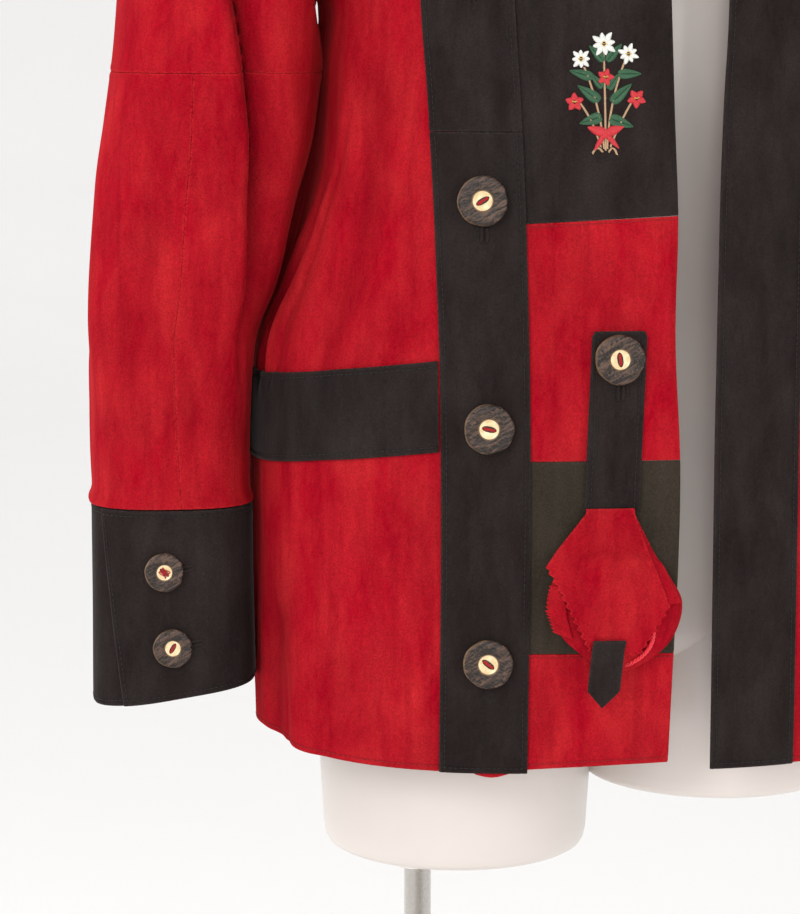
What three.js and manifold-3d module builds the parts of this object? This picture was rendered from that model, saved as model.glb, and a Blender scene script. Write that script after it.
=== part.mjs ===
// A suede jacket in colour blocks, worn open on a smooth limbless dress form that stands on a pole
// and a round foot. Millimetres, +Z up, the wearer faces -Y and the wearer's left is +X. The floor
// is Z = 0 and the middle of the form stands over the origin.
import * as THREE from 'three';
import Module from 'manifold-3d';

const wasm = await Module();
wasm.setup();

// ---------------------------------------------------------------- driving dimensions
const HEM_Z = 740; // lowest line of the jacket
const CHEST_Z = 1180; // the body starts to round over to the shoulders here
const NECK_Z = 1475; // neck point, the top of the shoulder seam
const NECK_X = 78; // neck point from the centre
const SHOULDER_FALL = 0.4; // drop of the shoulder seam per mm outwards
const SHOULDER_BACK = 8; // the shoulder seam lies this far behind the centre
const SHOULDER_ROUND = 0.8; // power of the rounding over the shoulders
const SQUARE = 0.1; // squareness of the body's section, 0 is an ellipse
const UNDERARM_H = 1.06; // level of the underarm point, see levelOf
const BACK_NECK = 62; // half depth of the neck opening at the back
const HEM_RISE = 14; // the hem climbs this much towards the side seams

const CLOTH = 2; // wall of the suede
const SEAM = 0.3; // between pieces that meet edge to edge
const LAP = 0.8; // between a piece and what it lies on

const PLACKET_W = 54; // width of the button band
const PLACKET_SEAM_Z = 1137; // cross seam that pieces the right band
const UNDER_PLACKET = 17; // the front panels run this far under the bands
const PLASTRON_IN = 90; // the plastron starts this far from the centre, under the band
const PLASTRON_TOP_H = 1.2; // level of the plastron's top edge, see levelOf
const POCKET_W = 56; // height of the pocket band
const POCKET_Z = 942; // its lower edge beside the button band
const POCKET_DROP = 17; // fall of the pocket band towards the side
const STRAP_W = 34; // buttoned strap that holds the pouch
const STRAP_TOP = 1016;
const STRAP_END = 905;

const CROSS_SEAM_Z = 1172; // seam across the sleeve
const CUFF_TOP = 898;
const CUFF_END = 776;
const CUFF_EDGE = 46; // angle of the cuff's free edge, see SLEEVE_FOLDS
const CUFF_LAP = 46; // degrees of the cuff that lie twice
const CUFF_SLANT = 16; // degrees the free edge turns from top to bottom
const CUFF_SPIRAL = 3.4; // the cuff's outer end stands this far out
const CUFF_DROP = 8; // the cuff's end hangs this much lower outside and higher inside
const CUFF_LEVEL = 85; // angle where the cuff's end is at its middle height

const BUTTON_R = 15.8;
const BUTTON_T = 5.2;
const BUTTON_EYE_R = 6; // sunk pale centre
const BUTTON_HOLE_R = 1.2;
const BUTTON_HOLE_X = 2.6;
const BUTTON_SIDES = 18;
const CUFF_BUTTON_SIZE = 0.8; // the cuffs' buttons as a share of the others
const BAND_BUTTON_TURN = 65; // how far the holes are turned
const BAND_BUTTON_IN = 2; // the band's buttons sit this far towards the free edge

const POLE_X = -110; // the pole stands under the longer thigh end
const POLE_Y = 10;
const POLE_R = 9;
const POLE_FIT = 0.3; // play of the pole in its bores
const FOOT_X = -45; // middle of the foot
const FOOT_R = 190;
const FOOT_T = 8;
const SOCKET_DEPTH = 70;

// ---------------------------------------------------------------- colours
const RED = { color: 0xa01c1e, roughness: 0.95, metalness: 0 };
const BLACK = { color: 0x17191e, roughness: 0.95, metalness: 0 };
const GREEN = { color: 0x1f2a22, roughness: 0.95, metalness: 0 };
const HORN = { color: 0x33251f, roughness: 0.6, metalness: 0 };
const SHELL = { color: 0xf0e4d6, roughness: 0.55, metalness: 0 };
const STEEL = { color: 0xb9bcc0, roughness: 0.35, metalness: 1 };

// ---------------------------------------------------------------- tables
// The jacket's body by height: half width, and depth to the front and back of the centre.
const BODY = [
  { z: 740, width: 216, front: 136, back: 126 },
  { z: 800, width: 217, front: 138, back: 126 },
  { z: 890, width: 216, front: 140, back: 122 },
  { z: 950, width: 215, front: 139, back: 119 },
  { z: 1000, width: 210, front: 138, back: 117 },
  { z: 1040, width: 195, front: 136, back: 116 },
  { z: 1080, width: 183, front: 134, back: 116 },
  { z: 1120, width: 175, front: 131, back: 117 },
  { z: 1180, width: 171, front: 127, back: 118 },
  { z: 1225, width: 171, front: 124, back: 118 },
  { z: 1270, width: 196, front: 121, back: 118 },
  { z: 1330, width: 219, front: 118, back: 117 },
  { z: 1400, width: 228, front: 115, back: 115 },
  { z: 1475, width: 232, front: 112, back: 112 },
];
// The armhole seam by level on the body: distance from the centre.
const ARMHOLE = [
  { z: 1180, x: 171 },
  { z: 1215, x: 170.5 },
  { z: 1270, x: 174 },
  { z: 1330, x: 179 },
  { z: 1400, x: 193 },
  { z: 1475, x: 215 },
];
// The middle of the button band by height: distance from the centre.
const BAND_LINE = [
  { z: 740, x: 84.5 },
  { z: 935, x: 84 },
  { z: 1083, x: 86.5 },
  { z: 1150, x: 89 },
  { z: 1203, x: 92 },
  { z: 1300, x: 96 },
  { z: 1475, x: 106 },
];
// The free edge of the plastron by height.
const FREE_EDGE = [
  { z: 740, x: 31 },
  { z: 800, x: 33 },
  { z: 870, x: 35.5 },
  { z: 935, x: 36 },
  { z: 1010, x: 32.5 },
  { z: 1083, x: 34 },
  { z: 1150, x: 32 },
  { z: 1300, x: 28 },
];
// The plastron's blocks from the hem up: z of the lower seam under the band and at the free edge.
const BLOCKS = [
  { name: 'plastron_hem_block', low: 741, lowEdge: 745, paint: RED },
  { name: 'plastron_green_block', low: 816, lowEdge: 815, paint: GREEN },
  { name: 'plastron_red_block', low: 936, lowEdge: 936, paint: RED },
  { name: 'plastron_black_block', low: 1080, lowEdge: 1086, paint: BLACK },
];
// Folds of the body. An angle is 0 at the centre front, 90 at the side seam and 180 at the centre
// back, minus on the wearer's right. Each runs from (low, z0) to (high, z1), is wide degrees wide
// and stands out by rise (or sinks, below 0).
const FOLDS = [
  { low: -50, high: -52, z0: 900, z1: 1215, wide: 4.5, rise: -4 },
  { low: -61, high: -60, z0: 960, z1: 1215, wide: 4, rise: 4 },
  { low: -71, high: -62, z0: 985, z1: 1120, wide: 3.2, rise: 4 },
  { low: -80, high: -68, z0: 980, z1: 1110, wide: 3.2, rise: -4 },
  { low: -88, high: -74, z0: 975, z1: 1100, wide: 3, rise: 3.5 },
  { low: -66, high: -64, z0: 735, z1: 850, wide: 5, rise: -4.5 },
  { low: -80, high: -79, z0: 735, z1: 800, wide: 5, rise: 2.5 },
  { low: -54, high: -56, z0: 735, z1: 840, wide: 5, rise: 3 },
  { low: -103, high: -98, z0: 740, z1: 1060, wide: 6, rise: -5 },
  { low: -124, high: -112, z0: 740, z1: 1120, wide: 7, rise: 5 },
  { low: -108, high: -108, z0: 742, z1: 1215, wide: 13, rise: 15 },
  { low: -145, high: -150, z0: 740, z1: 980, wide: 7, rise: -5 },
  { low: -165, high: -158, z0: 740, z1: 1060, wide: 7, rise: 4 },
  { low: 176, high: 172, z0: 740, z1: 930, wide: 6, rise: -4 },
  { low: 156, high: 162, z0: 740, z1: 1090, wide: 8, rise: 5 },
  { low: 134, high: 140, z0: 740, z1: 1010, wide: 6, rise: -5 },
  { low: 112, high: 106, z0: 740, z1: 1130, wide: 7, rise: 4.5 },
  { low: 113, high: 112, z0: 745, z1: 1160, wide: 12, rise: 11 },
  { low: 97, high: 96, z0: 740, z1: 930, wide: 5, rise: -4 },
  { low: 84, high: 71, z0: 960, z1: 1110, wide: 3.4, rise: 3.5 },
  { low: 74, high: 65, z0: 985, z1: 1140, wide: 3.4, rise: -3.5 },
  { low: 78, high: 77, z0: 735, z1: 800, wide: 5, rise: 2.5 },
  { low: 63, high: 66, z0: 735, z1: 860, wide: 5, rise: -4 },
  { low: 52, high: 54, z0: 880, z1: 1210, wide: 5, rise: -4 },
  { low: 62, high: 62, z0: 1000, z1: 1220, wide: 4, rise: 3.5 },
];
// The hanging sleeve by height: outermost and innermost distance from the centre, middle and half
// depth front to back.
const SLEEVE = [
  { z: 770, outer: 322, inner: 224, mid: -17, depth: 49 },
  { z: 898, outer: 322, inner: 225, mid: -14, depth: 48 },
  { z: 1000, outer: 322, inner: 220, mid: -13, depth: 54 },
  { z: 1040, outer: 321, inner: 206, mid: -12, depth: 58 },
  { z: 1090, outer: 317, inner: 194, mid: -11, depth: 62 },
  { z: 1130, outer: 313, inner: 183, mid: -9, depth: 66 },
  { z: 1172, outer: 307, inner: 179.5, mid: -7, depth: 70 },
];
// Folds of a sleeve. An angle is 0 on the outside, 90 at the front, 180 beside the body.
const SLEEVE_FOLDS = [
  { low: 136, high: 77, z0: 985, z1: 1310, wide: 9, rise: -11 },
  { low: 158, high: 104, z0: 1010, z1: 1260, wide: 9, rise: 4 },
  { low: 60, high: 66, z0: 930, z1: 1130, wide: 12, rise: -3 },
  { low: 24, high: 20, z0: 960, z1: 1160, wide: 13, rise: 3 },
  { low: 262, high: 250, z0: 940, z1: 1180, wide: 13, rise: -5 },
  { low: 300, high: 310, z0: 990, z1: 1240, wide: 14, rise: 4 },
  { low: 215, high: 222, z0: 1000, z1: 1190, wide: 10, rise: 3 },
];
// The dress form by height: half width, depth to the front and to the back, and its middle.
const FORM = [
  { z: 786, width: 100, front: 52, back: 56, mid: 0 },
  { z: 796, width: 146, front: 82, back: 86, mid: 0 },
  { z: 818, width: 172, front: 100, back: 102, mid: 0 },
  { z: 850, width: 180, front: 106, back: 108, mid: 0 },
  { z: 900, width: 179, front: 105, back: 108, mid: 0 },
  { z: 950, width: 169, front: 99, back: 101, mid: 0 },
  { z: 1005, width: 151, front: 92, back: 88, mid: 0 },
  { z: 1055, width: 139, front: 89, back: 80, mid: 1 },
  { z: 1110, width: 140, front: 94, back: 80, mid: 2 },
  { z: 1175, width: 149, front: 104, back: 86, mid: 3 },
  { z: 1240, width: 154, front: 98, back: 90, mid: 4 },
  { z: 1310, width: 160, front: 80, back: 84, mid: 6 },
  { z: 1370, width: 172, front: 62, back: 66, mid: 7 },
  { z: 1405, width: 182, front: 46, back: 50, mid: 8 },
  { z: 1422, width: 186, front: 38, back: 40, mid: 8 },
  { z: 1432, width: 181, front: 32, back: 32, mid: 8 },
  { z: 1445, width: 149, front: 34, back: 31, mid: 8 },
  { z: 1458, width: 117, front: 36, back: 26, mid: 8 },
  { z: 1466, width: 94, front: 38, back: 18, mid: 8 },
  { z: 1471, width: 74, front: 42, back: 22, mid: 8 },
  { z: 1482, width: 61, front: 48, back: 36, mid: 8 },
  { z: 1502, width: 57, front: 52, back: 50, mid: 8 },
  { z: 1536, width: 57, front: 54, back: 54, mid: 8 },
  { z: 1543, width: 50, front: 47, back: 47, mid: 8 },
];
// Two short thigh ends under the form, cut at different heights: middle, half width, half depth.
const THIGHS = [
  { x: -86, wide: 91, deep: 98, low: 664, high: 862 },
  { x: 86, wide: 91, deep: 98, low: 707, high: 862 },
];
// Height of each button on the right band.
const BAND_BUTTONS = [
  { name: 'band_button_1', z: 1234 },
  { name: 'band_button_2', z: 1095 },
  { name: 'band_button_3', z: 957 },
  { name: 'band_button_4', z: 811 },
];
// Buttons of a cuff: height and angle on the cuff.
const CUFF_BUTTONS = [
  { name: 'cuff_button_upper', z: 859, angle: 83 },
  { name: 'cuff_button_lower', z: 810, angle: 88 },
];
// Corners of the pouch's flap by height: distance of each edge from the middle line.
const FLAP = [
  { z: 816, left: 8.8, right: 21 },
  { z: 848, left: 24.7, right: 38.9 },
  { z: 872, left: 36.6, right: 30.4 },
  { z: 904.5, left: 11.3, right: 18.8 },
];
// Rows of the flap's cloth, with one at each corner.
const FLAP_ROWS = [816, 827, 837.5, 848, 860, 872, 883, 894, 904.5];
// The gathered bag of the pouch by height: half width, thickness and shift of its middle.
const BAG = [
  { z: 805, width: 8, thick: 4, shift: 9.5 },
  { z: 814, width: 21, thick: 9, shift: 10.5 },
  { z: 827, width: 33.5, thick: 14, shift: 9 },
  { z: 849, width: 41, thick: 17, shift: 6.4 },
  { z: 866, width: 35, thick: 13, shift: 4.5 },
  { z: 876, width: 29, thick: 8, shift: 4 },
  { z: 881, width: 20, thick: 3, shift: 4 },
];

// ---------------------------------------------------------------- small tools
const rad = THREE.MathUtils.degToRad;
const vec = (x, y, z) => new THREE.Vector3(x, y, z);

// Smooth curve through one column of a table.
function along(table, column, z) {
  const last = table.length - 1;
  const at = Math.min(Math.max(z, table[0].z), table[last].z);
  let i = 0;
  while (i < last - 1 && at > table[i + 1].z) i += 1;
  const slope = (k) => {
    const a = Math.max(k - 1, 0);
    const b = Math.min(k + 1, last);
    return (table[b][column] - table[a][column]) / (table[b].z - table[a].z);
  };
  const span = table[i + 1].z - table[i].z;
  const t = (at - table[i].z) / span;
  const p = table[i][column];
  const q = table[i + 1][column];
  const h = t * t * (3 - 2 * t);
  return p + (q - p) * h + span * t * (1 - t) * ((1 - t) * slope(i) - t * slope(i + 1));
}

// Share of a fold that stands at height z.
function foldFade(fold, z) {
  const ease = (fold.z1 - fold.z0) * 0.3;
  const low = fold.z0 < HEM_Z + 1 ? 1 : THREE.MathUtils.smoothstep(z, fold.z0, fold.z0 + ease);
  return low * (1 - THREE.MathUtils.smoothstep(z, fold.z1 - ease, fold.z1));
}

function foldRise(folds, angle, z) {
  let sum = 0;
  for (const fold of folds) {
    const t = (z - fold.z0) / (fold.z1 - fold.z0);
    const off = (angle - fold.low - (fold.high - fold.low) * t) / fold.wide;
    sum += fold.rise * Math.exp(-off * off) * foldFade(fold, z);
  }
  return sum;
}

// A closed ring or open strip wall from a function of (i, j) that gives a point and its outward
// direction. Layers are the distances of the inner and outer face.
function wall(across, up, sample, inner, outer, closed = false) {
  const columns = closed ? across : across + 1;
  const points = [];
  for (const shift of [inner, outer]) {
    for (let j = 0; j <= up; j += 1) {
      for (let i = 0; i < columns; i += 1) {
        const { point, normal } = sample(i / across, j / up);
        points.push(point.clone().addScaledVector(normal, shift));
      }
    }
  }
  const half = columns * (up + 1);
  const id = (side, i, j) => side * half + j * columns + (i % columns);
  const faces = [];
  const quad = (a, b, c, d) => faces.push(a, b, c, a, c, d);
  for (let j = 0; j < up; j += 1) {
    for (let i = 0; i < across; i += 1) {
      quad(id(1, i, j), id(1, i + 1, j), id(1, i + 1, j + 1), id(1, i, j + 1));
      quad(id(0, i, j), id(0, i, j + 1), id(0, i + 1, j + 1), id(0, i + 1, j));
    }
  }
  for (let i = 0; i < across; i += 1) {
    quad(id(0, i, 0), id(0, i + 1, 0), id(1, i + 1, 0), id(1, i, 0));
    quad(id(0, i, up), id(1, i, up), id(1, i + 1, up), id(0, i + 1, up));
  }
  if (!closed) {
    for (let j = 0; j < up; j += 1) {
      quad(id(0, 0, j), id(1, 0, j), id(1, 0, j + 1), id(0, 0, j + 1));
      quad(id(0, across, j), id(0, across, j + 1), id(1, across, j + 1), id(1, across, j));
    }
  }
  return outward(points, faces);
}

// A geometry from points and faces, turned so that its faces look outwards.
function outward(points, faces) {
  let volume = 0;
  for (let k = 0; k < faces.length; k += 3) {
    const [a, b, c] = [points[faces[k]], points[faces[k + 1]], points[faces[k + 2]]];
    volume += a.dot(b.clone().cross(c));
  }
  if (volume < 0) {
    for (let k = 0; k < faces.length; k += 3) {
      [faces[k + 1], faces[k + 2]] = [faces[k + 2], faces[k + 1]];
    }
  }
  const geometry = new THREE.BufferGeometry();
  geometry.setAttribute('position', new THREE.Float32BufferAttribute(points.flatMap((p) => p.toArray()), 3));
  geometry.setIndex(faces);
  return geometry;
}

// A solid lofted through rings of points, closed at both ends.
function loft(rings) {
  const sides = rings[0].length;
  const points = rings.flat();
  const faces = [];
  for (let j = 0; j < rings.length - 1; j += 1) {
    for (let i = 0; i < sides; i += 1) {
      const next = (i + 1) % sides;
      const [a, b] = [j * sides + i, j * sides + next];
      faces.push(a, b, b + sides, a, b + sides, a + sides);
    }
  }
  for (const j of [0, rings.length - 1]) {
    const middle = points.length;
    points.push(rings[j].reduce((sum, p) => sum.add(p), vec(0, 0, 0)).divideScalar(sides));
    for (let i = 0; i < sides; i += 1) {
      const pair = [j * sides + ((i + 1) % sides), j * sides + i];
      if (j > 0) pair.reverse();
      faces.push(middle, pair[0], pair[1]);
    }
  }
  return outward(points, faces);
}

function toManifold(geometry) {
  return new wasm.Manifold(
    new wasm.Mesh({
      numProp: 3,
      vertProperties: new Float32Array(geometry.attributes.position.array),
      triVerts: new Uint32Array(geometry.index.array),
    }),
  );
}

function fromManifold(manifold) {
  const mesh = manifold.getMesh();
  const geometry = new THREE.BufferGeometry();
  const stride = mesh.numProp;
  const places = [];
  for (let i = 0; i < mesh.vertProperties.length; i += stride) {
    places.push(mesh.vertProperties[i], mesh.vertProperties[i + 1], mesh.vertProperties[i + 2]);
  }
  geometry.setAttribute('position', new THREE.Float32BufferAttribute(places, 3));
  geometry.setIndex([...mesh.triVerts]);
  return geometry;
}

// ---------------------------------------------------------------- the jacket's body
// Level h is 0 at the hem, 1 where the shoulders start and 2 along the shoulder seam.
function levelOf(h) {
  const lean = h > 1 ? rad((h - 1) * 90) : 0;
  const climb = Math.sin(lean) ** SHOULDER_ROUND;
  const z = h > 1 ? CHEST_Z + (NECK_Z - CHEST_Z) * climb : HEM_Z + (CHEST_Z - HEM_Z) * h;
  return { z, lean, climb };
}

function heightLevel(z) {
  if (z <= CHEST_Z) return (z - HEM_Z) / (CHEST_Z - HEM_Z);
  const climb = (z - CHEST_Z) / (NECK_Z - CHEST_Z);
  return 1 + THREE.MathUtils.radToDeg(Math.asin(climb ** (1 / SHOULDER_ROUND))) / 90;
}

const bulge = (angle) => 1 + SQUARE * Math.sin(2 * angle) ** 2;

// Angle in degrees on the section at level h where the body is x from the centre.
function angleAt(x, h) {
  const share = Math.min(Math.abs(x) / along(BODY, 'width', levelOf(h).z), 1);
  let low = 0;
  let high = Math.PI / 2;
  for (let k = 0; k < 40; k += 1) {
    const mid = (low + high) / 2;
    if (Math.sin(mid) * bulge(mid) < share) low = mid;
    else high = mid;
  }
  return THREE.MathUtils.radToDeg(low) * Math.sign(x);
}

// A point of the smooth body, before its folds.
function smoothBody(degrees, h) {
  const { z, lean, climb } = levelOf(h);
  const angle = rad(Math.abs(degrees));
  const depth = along(BODY, Math.abs(degrees) < 90 ? 'front' : 'back', z);
  const reach = along(BODY, 'width', z) * Math.sin(angle) * bulge(angle);
  const y = SHOULDER_BACK * Math.sin(lean) ** 2 - depth * Math.cos(angle) * bulge(angle) * Math.cos(lean);
  const seam = NECK_Z - SHOULDER_FALL * Math.max(reach - NECK_X, 0);
  const rise = HEM_RISE * Math.sin(angle) ** 4 * Math.max(1 - h * 3, 0) ** 2;
  const up = h > 1 ? CHEST_Z + (seam - CHEST_Z) * climb : z + rise;
  return vec(Math.sign(degrees) * reach, y, up);
}

function normalOf(surface, u, v, du, dv) {
  const across = surface(u + du, v).sub(surface(u - du, v));
  const up = surface(u, v + dv).sub(surface(u, v - dv));
  return across.cross(up).normalize();
}

const STEP_ANGLE = 0.4;
const STEP_LEVEL = 0.004;

function foldedBody(degrees, h) {
  const turned = degrees > 180 ? degrees - 360 : degrees < -180 ? degrees + 360 : degrees;
  const point = smoothBody(turned, h);
  const top = h > 1.97 ? 1.97 : h;
  const from = turned || STEP_ANGLE;
  const normal = normalOf(smoothBody, from, Math.max(top, STEP_LEVEL), STEP_ANGLE, STEP_LEVEL);
  return point.addScaledVector(normal, foldRise(FOLDS, turned, point.z));
}

// A point of the body and its outward direction.
function body(degrees, h) {
  const normal = normalOf(foldedBody, degrees, h, STEP_ANGLE, STEP_LEVEL);
  return { point: foldedBody(degrees, h), normal };
}

// The body at x from the centre front.
const bodyAt = (x, h) => body(angleAt(x, h), h);

const UPPER_LEVELS = [1.03, 1.1, PLASTRON_TOP_H, 1.34, 1.5, 1.66, 1.82, 1.998];
const LOWER_HEIGHTS = [740, 770, 816, 860, 900, 941, 970, 998, 1035, 1083, 1110, 1137];
const LEVELS = [...LOWER_HEIGHTS.map(heightLevel), ...UPPER_LEVELS];

const bandMiddle = (h) => along(BAND_LINE, 'x', levelOf(h).z);
const armholeAngle = (h) => angleAt(along(ARMHOLE, 'x', levelOf(h).z), h);
const sideAngle = (h) => (h > UNDERARM_H ? armholeAngle(h) : 90);

// Picks a level from a list by its share of the way up.
function levelIn(levels, v) {
  const at = v * (levels.length - 1);
  const i = Math.min(Math.floor(at), levels.length - 2);
  return levels[i] + (levels[i + 1] - levels[i]) * (at - i);
}

const seamAngle = 0.05; // half of a seam's gap, in degrees
const FRONT_COLUMNS = 11;
const BACK_COLUMNS = 18;

// Angle of a front panel's column: 0 lies under the band, 1 at the band's edge, the last at the side.
function frontColumn(index, h, clear) {
  const edge = bandMiddle(h) + PLACKET_W / 2;
  if (index < 0.5) return angleAt(edge - UNDER_PLACKET, h);
  const inner = angleAt(edge + clear, h);
  const share = (index - 1) / (FRONT_COLUMNS - 1);
  return inner + (sideAngle(h) - seamAngle - inner) * share;
}

function frontPanel(side) {
  const sample = (u, v) => {
    const h = levelIn(LEVELS, v);
    return body(side * frontColumn(Math.round(u * FRONT_COLUMNS), h, 0), h);
  };
  return wall(FRONT_COLUMNS, LEVELS.length - 1, sample, 0, CLOTH);
}

// The neck opening cuts the back's middle columns short.
function backTop(degrees) {
  const x = Math.abs(smoothBody(degrees, 1.9).x);
  if (x >= NECK_X) return 1.998;
  const depth = Math.abs(smoothBody(degrees, 1.0001).y);
  const cosine = (BACK_NECK * Math.sqrt(1 - (x / NECK_X) ** 2)) / depth;
  return 1 + THREE.MathUtils.radToDeg(Math.acos(Math.min(cosine, 1))) / 90 - 0.002;
}

function backPanel() {
  const sample = (u, v) => {
    const h = levelIn(LEVELS, v);
    const edge = 180 - sideAngle(h) + seamAngle;
    const angle = edge + (360 - 2 * edge) * u;
    const turned = angle > 180 ? angle - 360 : angle;
    const top = backTop(turned);
    const cut = h > 1 ? 1 + (h - 1) * ((top - 1) / (UPPER_LEVELS.at(-1) - 1)) : h;
    return body(turned, cut);
  };
  return wall(BACK_COLUMNS, LEVELS.length - 1, sample, 0, CLOTH);
}

// ---------------------------------------------------------------- bands on the fronts
const BAND_LIFT = CLOTH + LAP;
const BAND_TOP = BAND_LIFT + CLOTH;
const BAND_EASE = 0.5; // more clearance where the chest rounds over

function band(side, levels) {
  const sample = (u, v) => {
    const h = levelIn(levels, v);
    const { point, normal } = bodyAt(side * (bandMiddle(h) + PLACKET_W * (u - 0.5)), h);
    return { point: point.addScaledVector(normal, h > 1 ? BAND_EASE : 0), normal };
  };
  return wall(3, levels.length - 1, sample, BAND_LIFT, BAND_TOP);
}

const bandSplit = heightLevel(PLACKET_SEAM_Z);
const seamLevel = SEAM / 2 / (CHEST_Z - HEM_Z);
const LOWER_BAND = [...LEVELS.filter((h) => h < bandSplit - 0.01), bandSplit - seamLevel];
const UPPER_BAND = [bandSplit + seamLevel, ...LEVELS.filter((h) => h > bandSplit + 0.01)];
const WHOLE_BAND = LEVELS;

// The band round the back of the neck, on top of the back panel's edge.
function neckBand() {
  const reach = 180 - angleAt(NECK_X + 1, 1.9);
  const sample = (u, v) => {
    const angle = reach + (360 - 2 * reach) * u;
    const turned = angle > 180 ? angle - 360 : angle;
    const top = backTop(turned);
    return body(turned, top - 0.11 * (1 - v));
  };
  return wall(14, 2, sample, BAND_LIFT + 2 * LAP, BAND_TOP + 2 * LAP);
}

function plastronBlock(block, index) {
  const above = BLOCKS[index + 1];
  const top = above ? heightLevel(above.low) : PLASTRON_TOP_H;
  const bottom = heightLevel(block.low);
  const inside = LEVELS.filter((h) => h > bottom + 0.02 && h < top - 0.02);
  const rows = [bottom, ...inside, top];
  const sample = (u, v) => {
    const j = Math.round(v * (rows.length - 1));
    let h = rows[j];
    if (j === 0) h = heightLevel(block.low + (block.lowEdge - block.low) * u + (index ? SEAM / 2 : 0));
    else if (j === rows.length - 1 && above) {
      h = heightLevel(above.low + (above.lowEdge - above.low) * u - SEAM / 2);
    }
    const free = along(FREE_EDGE, 'x', levelOf(h).z);
    return bodyAt(-PLASTRON_IN + (free + PLASTRON_IN) * u, h);
  };
  return wall(5, rows.length - 1, sample, 0, CLOTH);
}

function pocketBand() {
  const sample = (u, v) => {
    const fall = POCKET_DROP * Math.sin(rad(90 * u));
    const h = heightLevel(POCKET_Z + POCKET_W * v - fall);
    return body(-frontColumn(1 + u * (FRONT_COLUMNS - 1), h, 2 * SEAM), h);
  };
  return wall(FRONT_COLUMNS - 1, 2, sample, BAND_LIFT, BAND_TOP);
}

const strapMiddle = (z) => -3 - 4.5 * ((STRAP_TOP - z) / (STRAP_TOP - STRAP_END)) + 0.5;
const STRAP_LIFT = CLOTH + LAP;
const STRAP_OUT = STRAP_LIFT + CLOTH + 0.4;

function strap() {
  const sample = (u, v) => {
    const z = STRAP_END + (STRAP_TOP - STRAP_END) * v;
    return bodyAt(strapMiddle(z) + STRAP_W * (u - 0.5), heightLevel(z));
  };
  return wall(2, 6, sample, STRAP_LIFT, STRAP_OUT);
}

// ---------------------------------------------------------------- the pouch on the strap
const POUCH_X = -12; // middle of the pouch
const BAG_LIFT = CLOTH + 0.5;
const FLAP_CLEAR = 1.3;
const FLAP_T = 1.6;

const bagThick = (z) => along(BAG, 'thick', z);

// The gathered bag, a flat rounded lump with its back just off the plastron.
function pouchBag() {
  const sides = 20;
  const rings = BAG.map((row) => {
    const ring = [];
    for (let i = 0; i < sides; i += 1) {
      const angle = rad((i * 360) / sides);
      const pleat = 1 + 0.05 * Math.cos(angle * 5 + row.z * 0.13);
      const x = POUCH_X + row.shift + row.width * Math.cos(angle) * pleat;
      const { point, normal } = bodyAt(x, heightLevel(row.z));
      const out = BAG_LIFT + (row.thick * (1 + Math.sin(angle))) / 2;
      ring.push(point.addScaledVector(normal, out));
    }
    return ring;
  });
  return loft(rings);
}

// How far the flap stands off the plastron over the bag.
function flapLift(x, z) {
  const width = along(BAG, 'width', z) * 1.05 + 1;
  const side = Math.min(Math.abs(x - POUCH_X - along(BAG, 'shift', z)) / width, 1);
  const over = z > BAG.at(-1).z ? 0 : bagThick(z) * (0.5 + 0.5 * Math.sqrt(1 - side * side * 0.86));
  return BAG_LIFT + Math.max(over, 2) + FLAP_CLEAR;
}

function pouchFlap() {
  const rows = FLAP_ROWS.length - 1;
  const sample = (u, v) => {
    const z = FLAP_ROWS[Math.round(v * rows)];
    const corner = Math.max(FLAP.findIndex((row) => row.z >= z), 1);
    const [low, high] = [FLAP[corner - 1], FLAP[corner]];
    const share = (z - low.z) / (high.z - low.z);
    const left = POUCH_X - low.left - (high.left - low.left) * share;
    const right = POUCH_X + low.right + (high.right - low.right) * share;
    const x = left + (right - left) * u;
    const { point, normal } = bodyAt(x, heightLevel(z));
    return { point: point.addScaledVector(normal, flapLift(x, z)), normal };
  };
  return wall(8, rows, sample, 0, FLAP_T);
}

const TAB_END = 785; // point of the tab
const TAB_LENGTH = 43;
const TAB_W = 20;
const TAB_LEAN = 4;
const TAB_POINT = 0.12; // width left at the point, as a share
const TAB_REST = 820; // below this height the tab hangs straight

// The pointed tab that closes the flap over the bag.
function pouchTab() {
  const sample = (u, v) => {
    const point = Math.min(v * 4, 1);
    const z = TAB_END + TAB_LENGTH * v;
    const x = POUCH_X - 2 + TAB_LEAN * v + TAB_W * (u - 0.5) * Math.max(point, TAB_POINT);
    const at = bodyAt(x, heightLevel(z));
    const lift = flapLift(POUCH_X + TAB_LEAN, Math.max(z, TAB_REST)) + FLAP_T + LAP / 2;
    return { point: at.point.addScaledVector(at.normal, lift), normal: at.normal };
  };
  return wall(2, 8, sample, 0, 2);
}

// ---------------------------------------------------------------- sleeves
function sleeveRing(side, degrees, z) {
  const outer = along(SLEEVE, 'outer', z);
  const inner = along(SLEEVE, 'inner', z);
  const angle = rad(degrees);
  const middle = (outer + inner) / 2;
  const half = (outer - inner) / 2;
  const x = middle + half * Math.cos(angle) * bulge(angle);
  const y = along(SLEEVE, 'mid', z) - along(SLEEVE, 'depth', z) * Math.sin(angle) * bulge(angle);
  return vec(side * x, y, z);
}

const SLEEVE_LIFT = CLOTH + 0.9;

// Where the sleeve is set on at the armhole: 0 degrees is the shoulder, 180 the underarm.
function armholePoint(side, degrees) {
  const turned = ((degrees % 360) + 360) % 360;
  const front = turned <= 180;
  const share = front ? turned / 180 : (360 - turned) / 180;
  const h = 1.998 + (UNDERARM_H + 0.002 - 1.998) * share;
  const edge = share > 0.999 ? 90 : armholeAngle(h);
  const { point, normal } = body(side * (front ? edge : 180 - edge), h);
  const under = Math.sin(rad(share * 90)) ** 4;
  return point.addScaledVector(normal, SLEEVE_LIFT + 3.2 * under);
}

const START_DROP = 20; // the sleeve leaves the shoulder this steeply
const UNDER_DROP = 40; // and this much more steeply at the underarm

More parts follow.
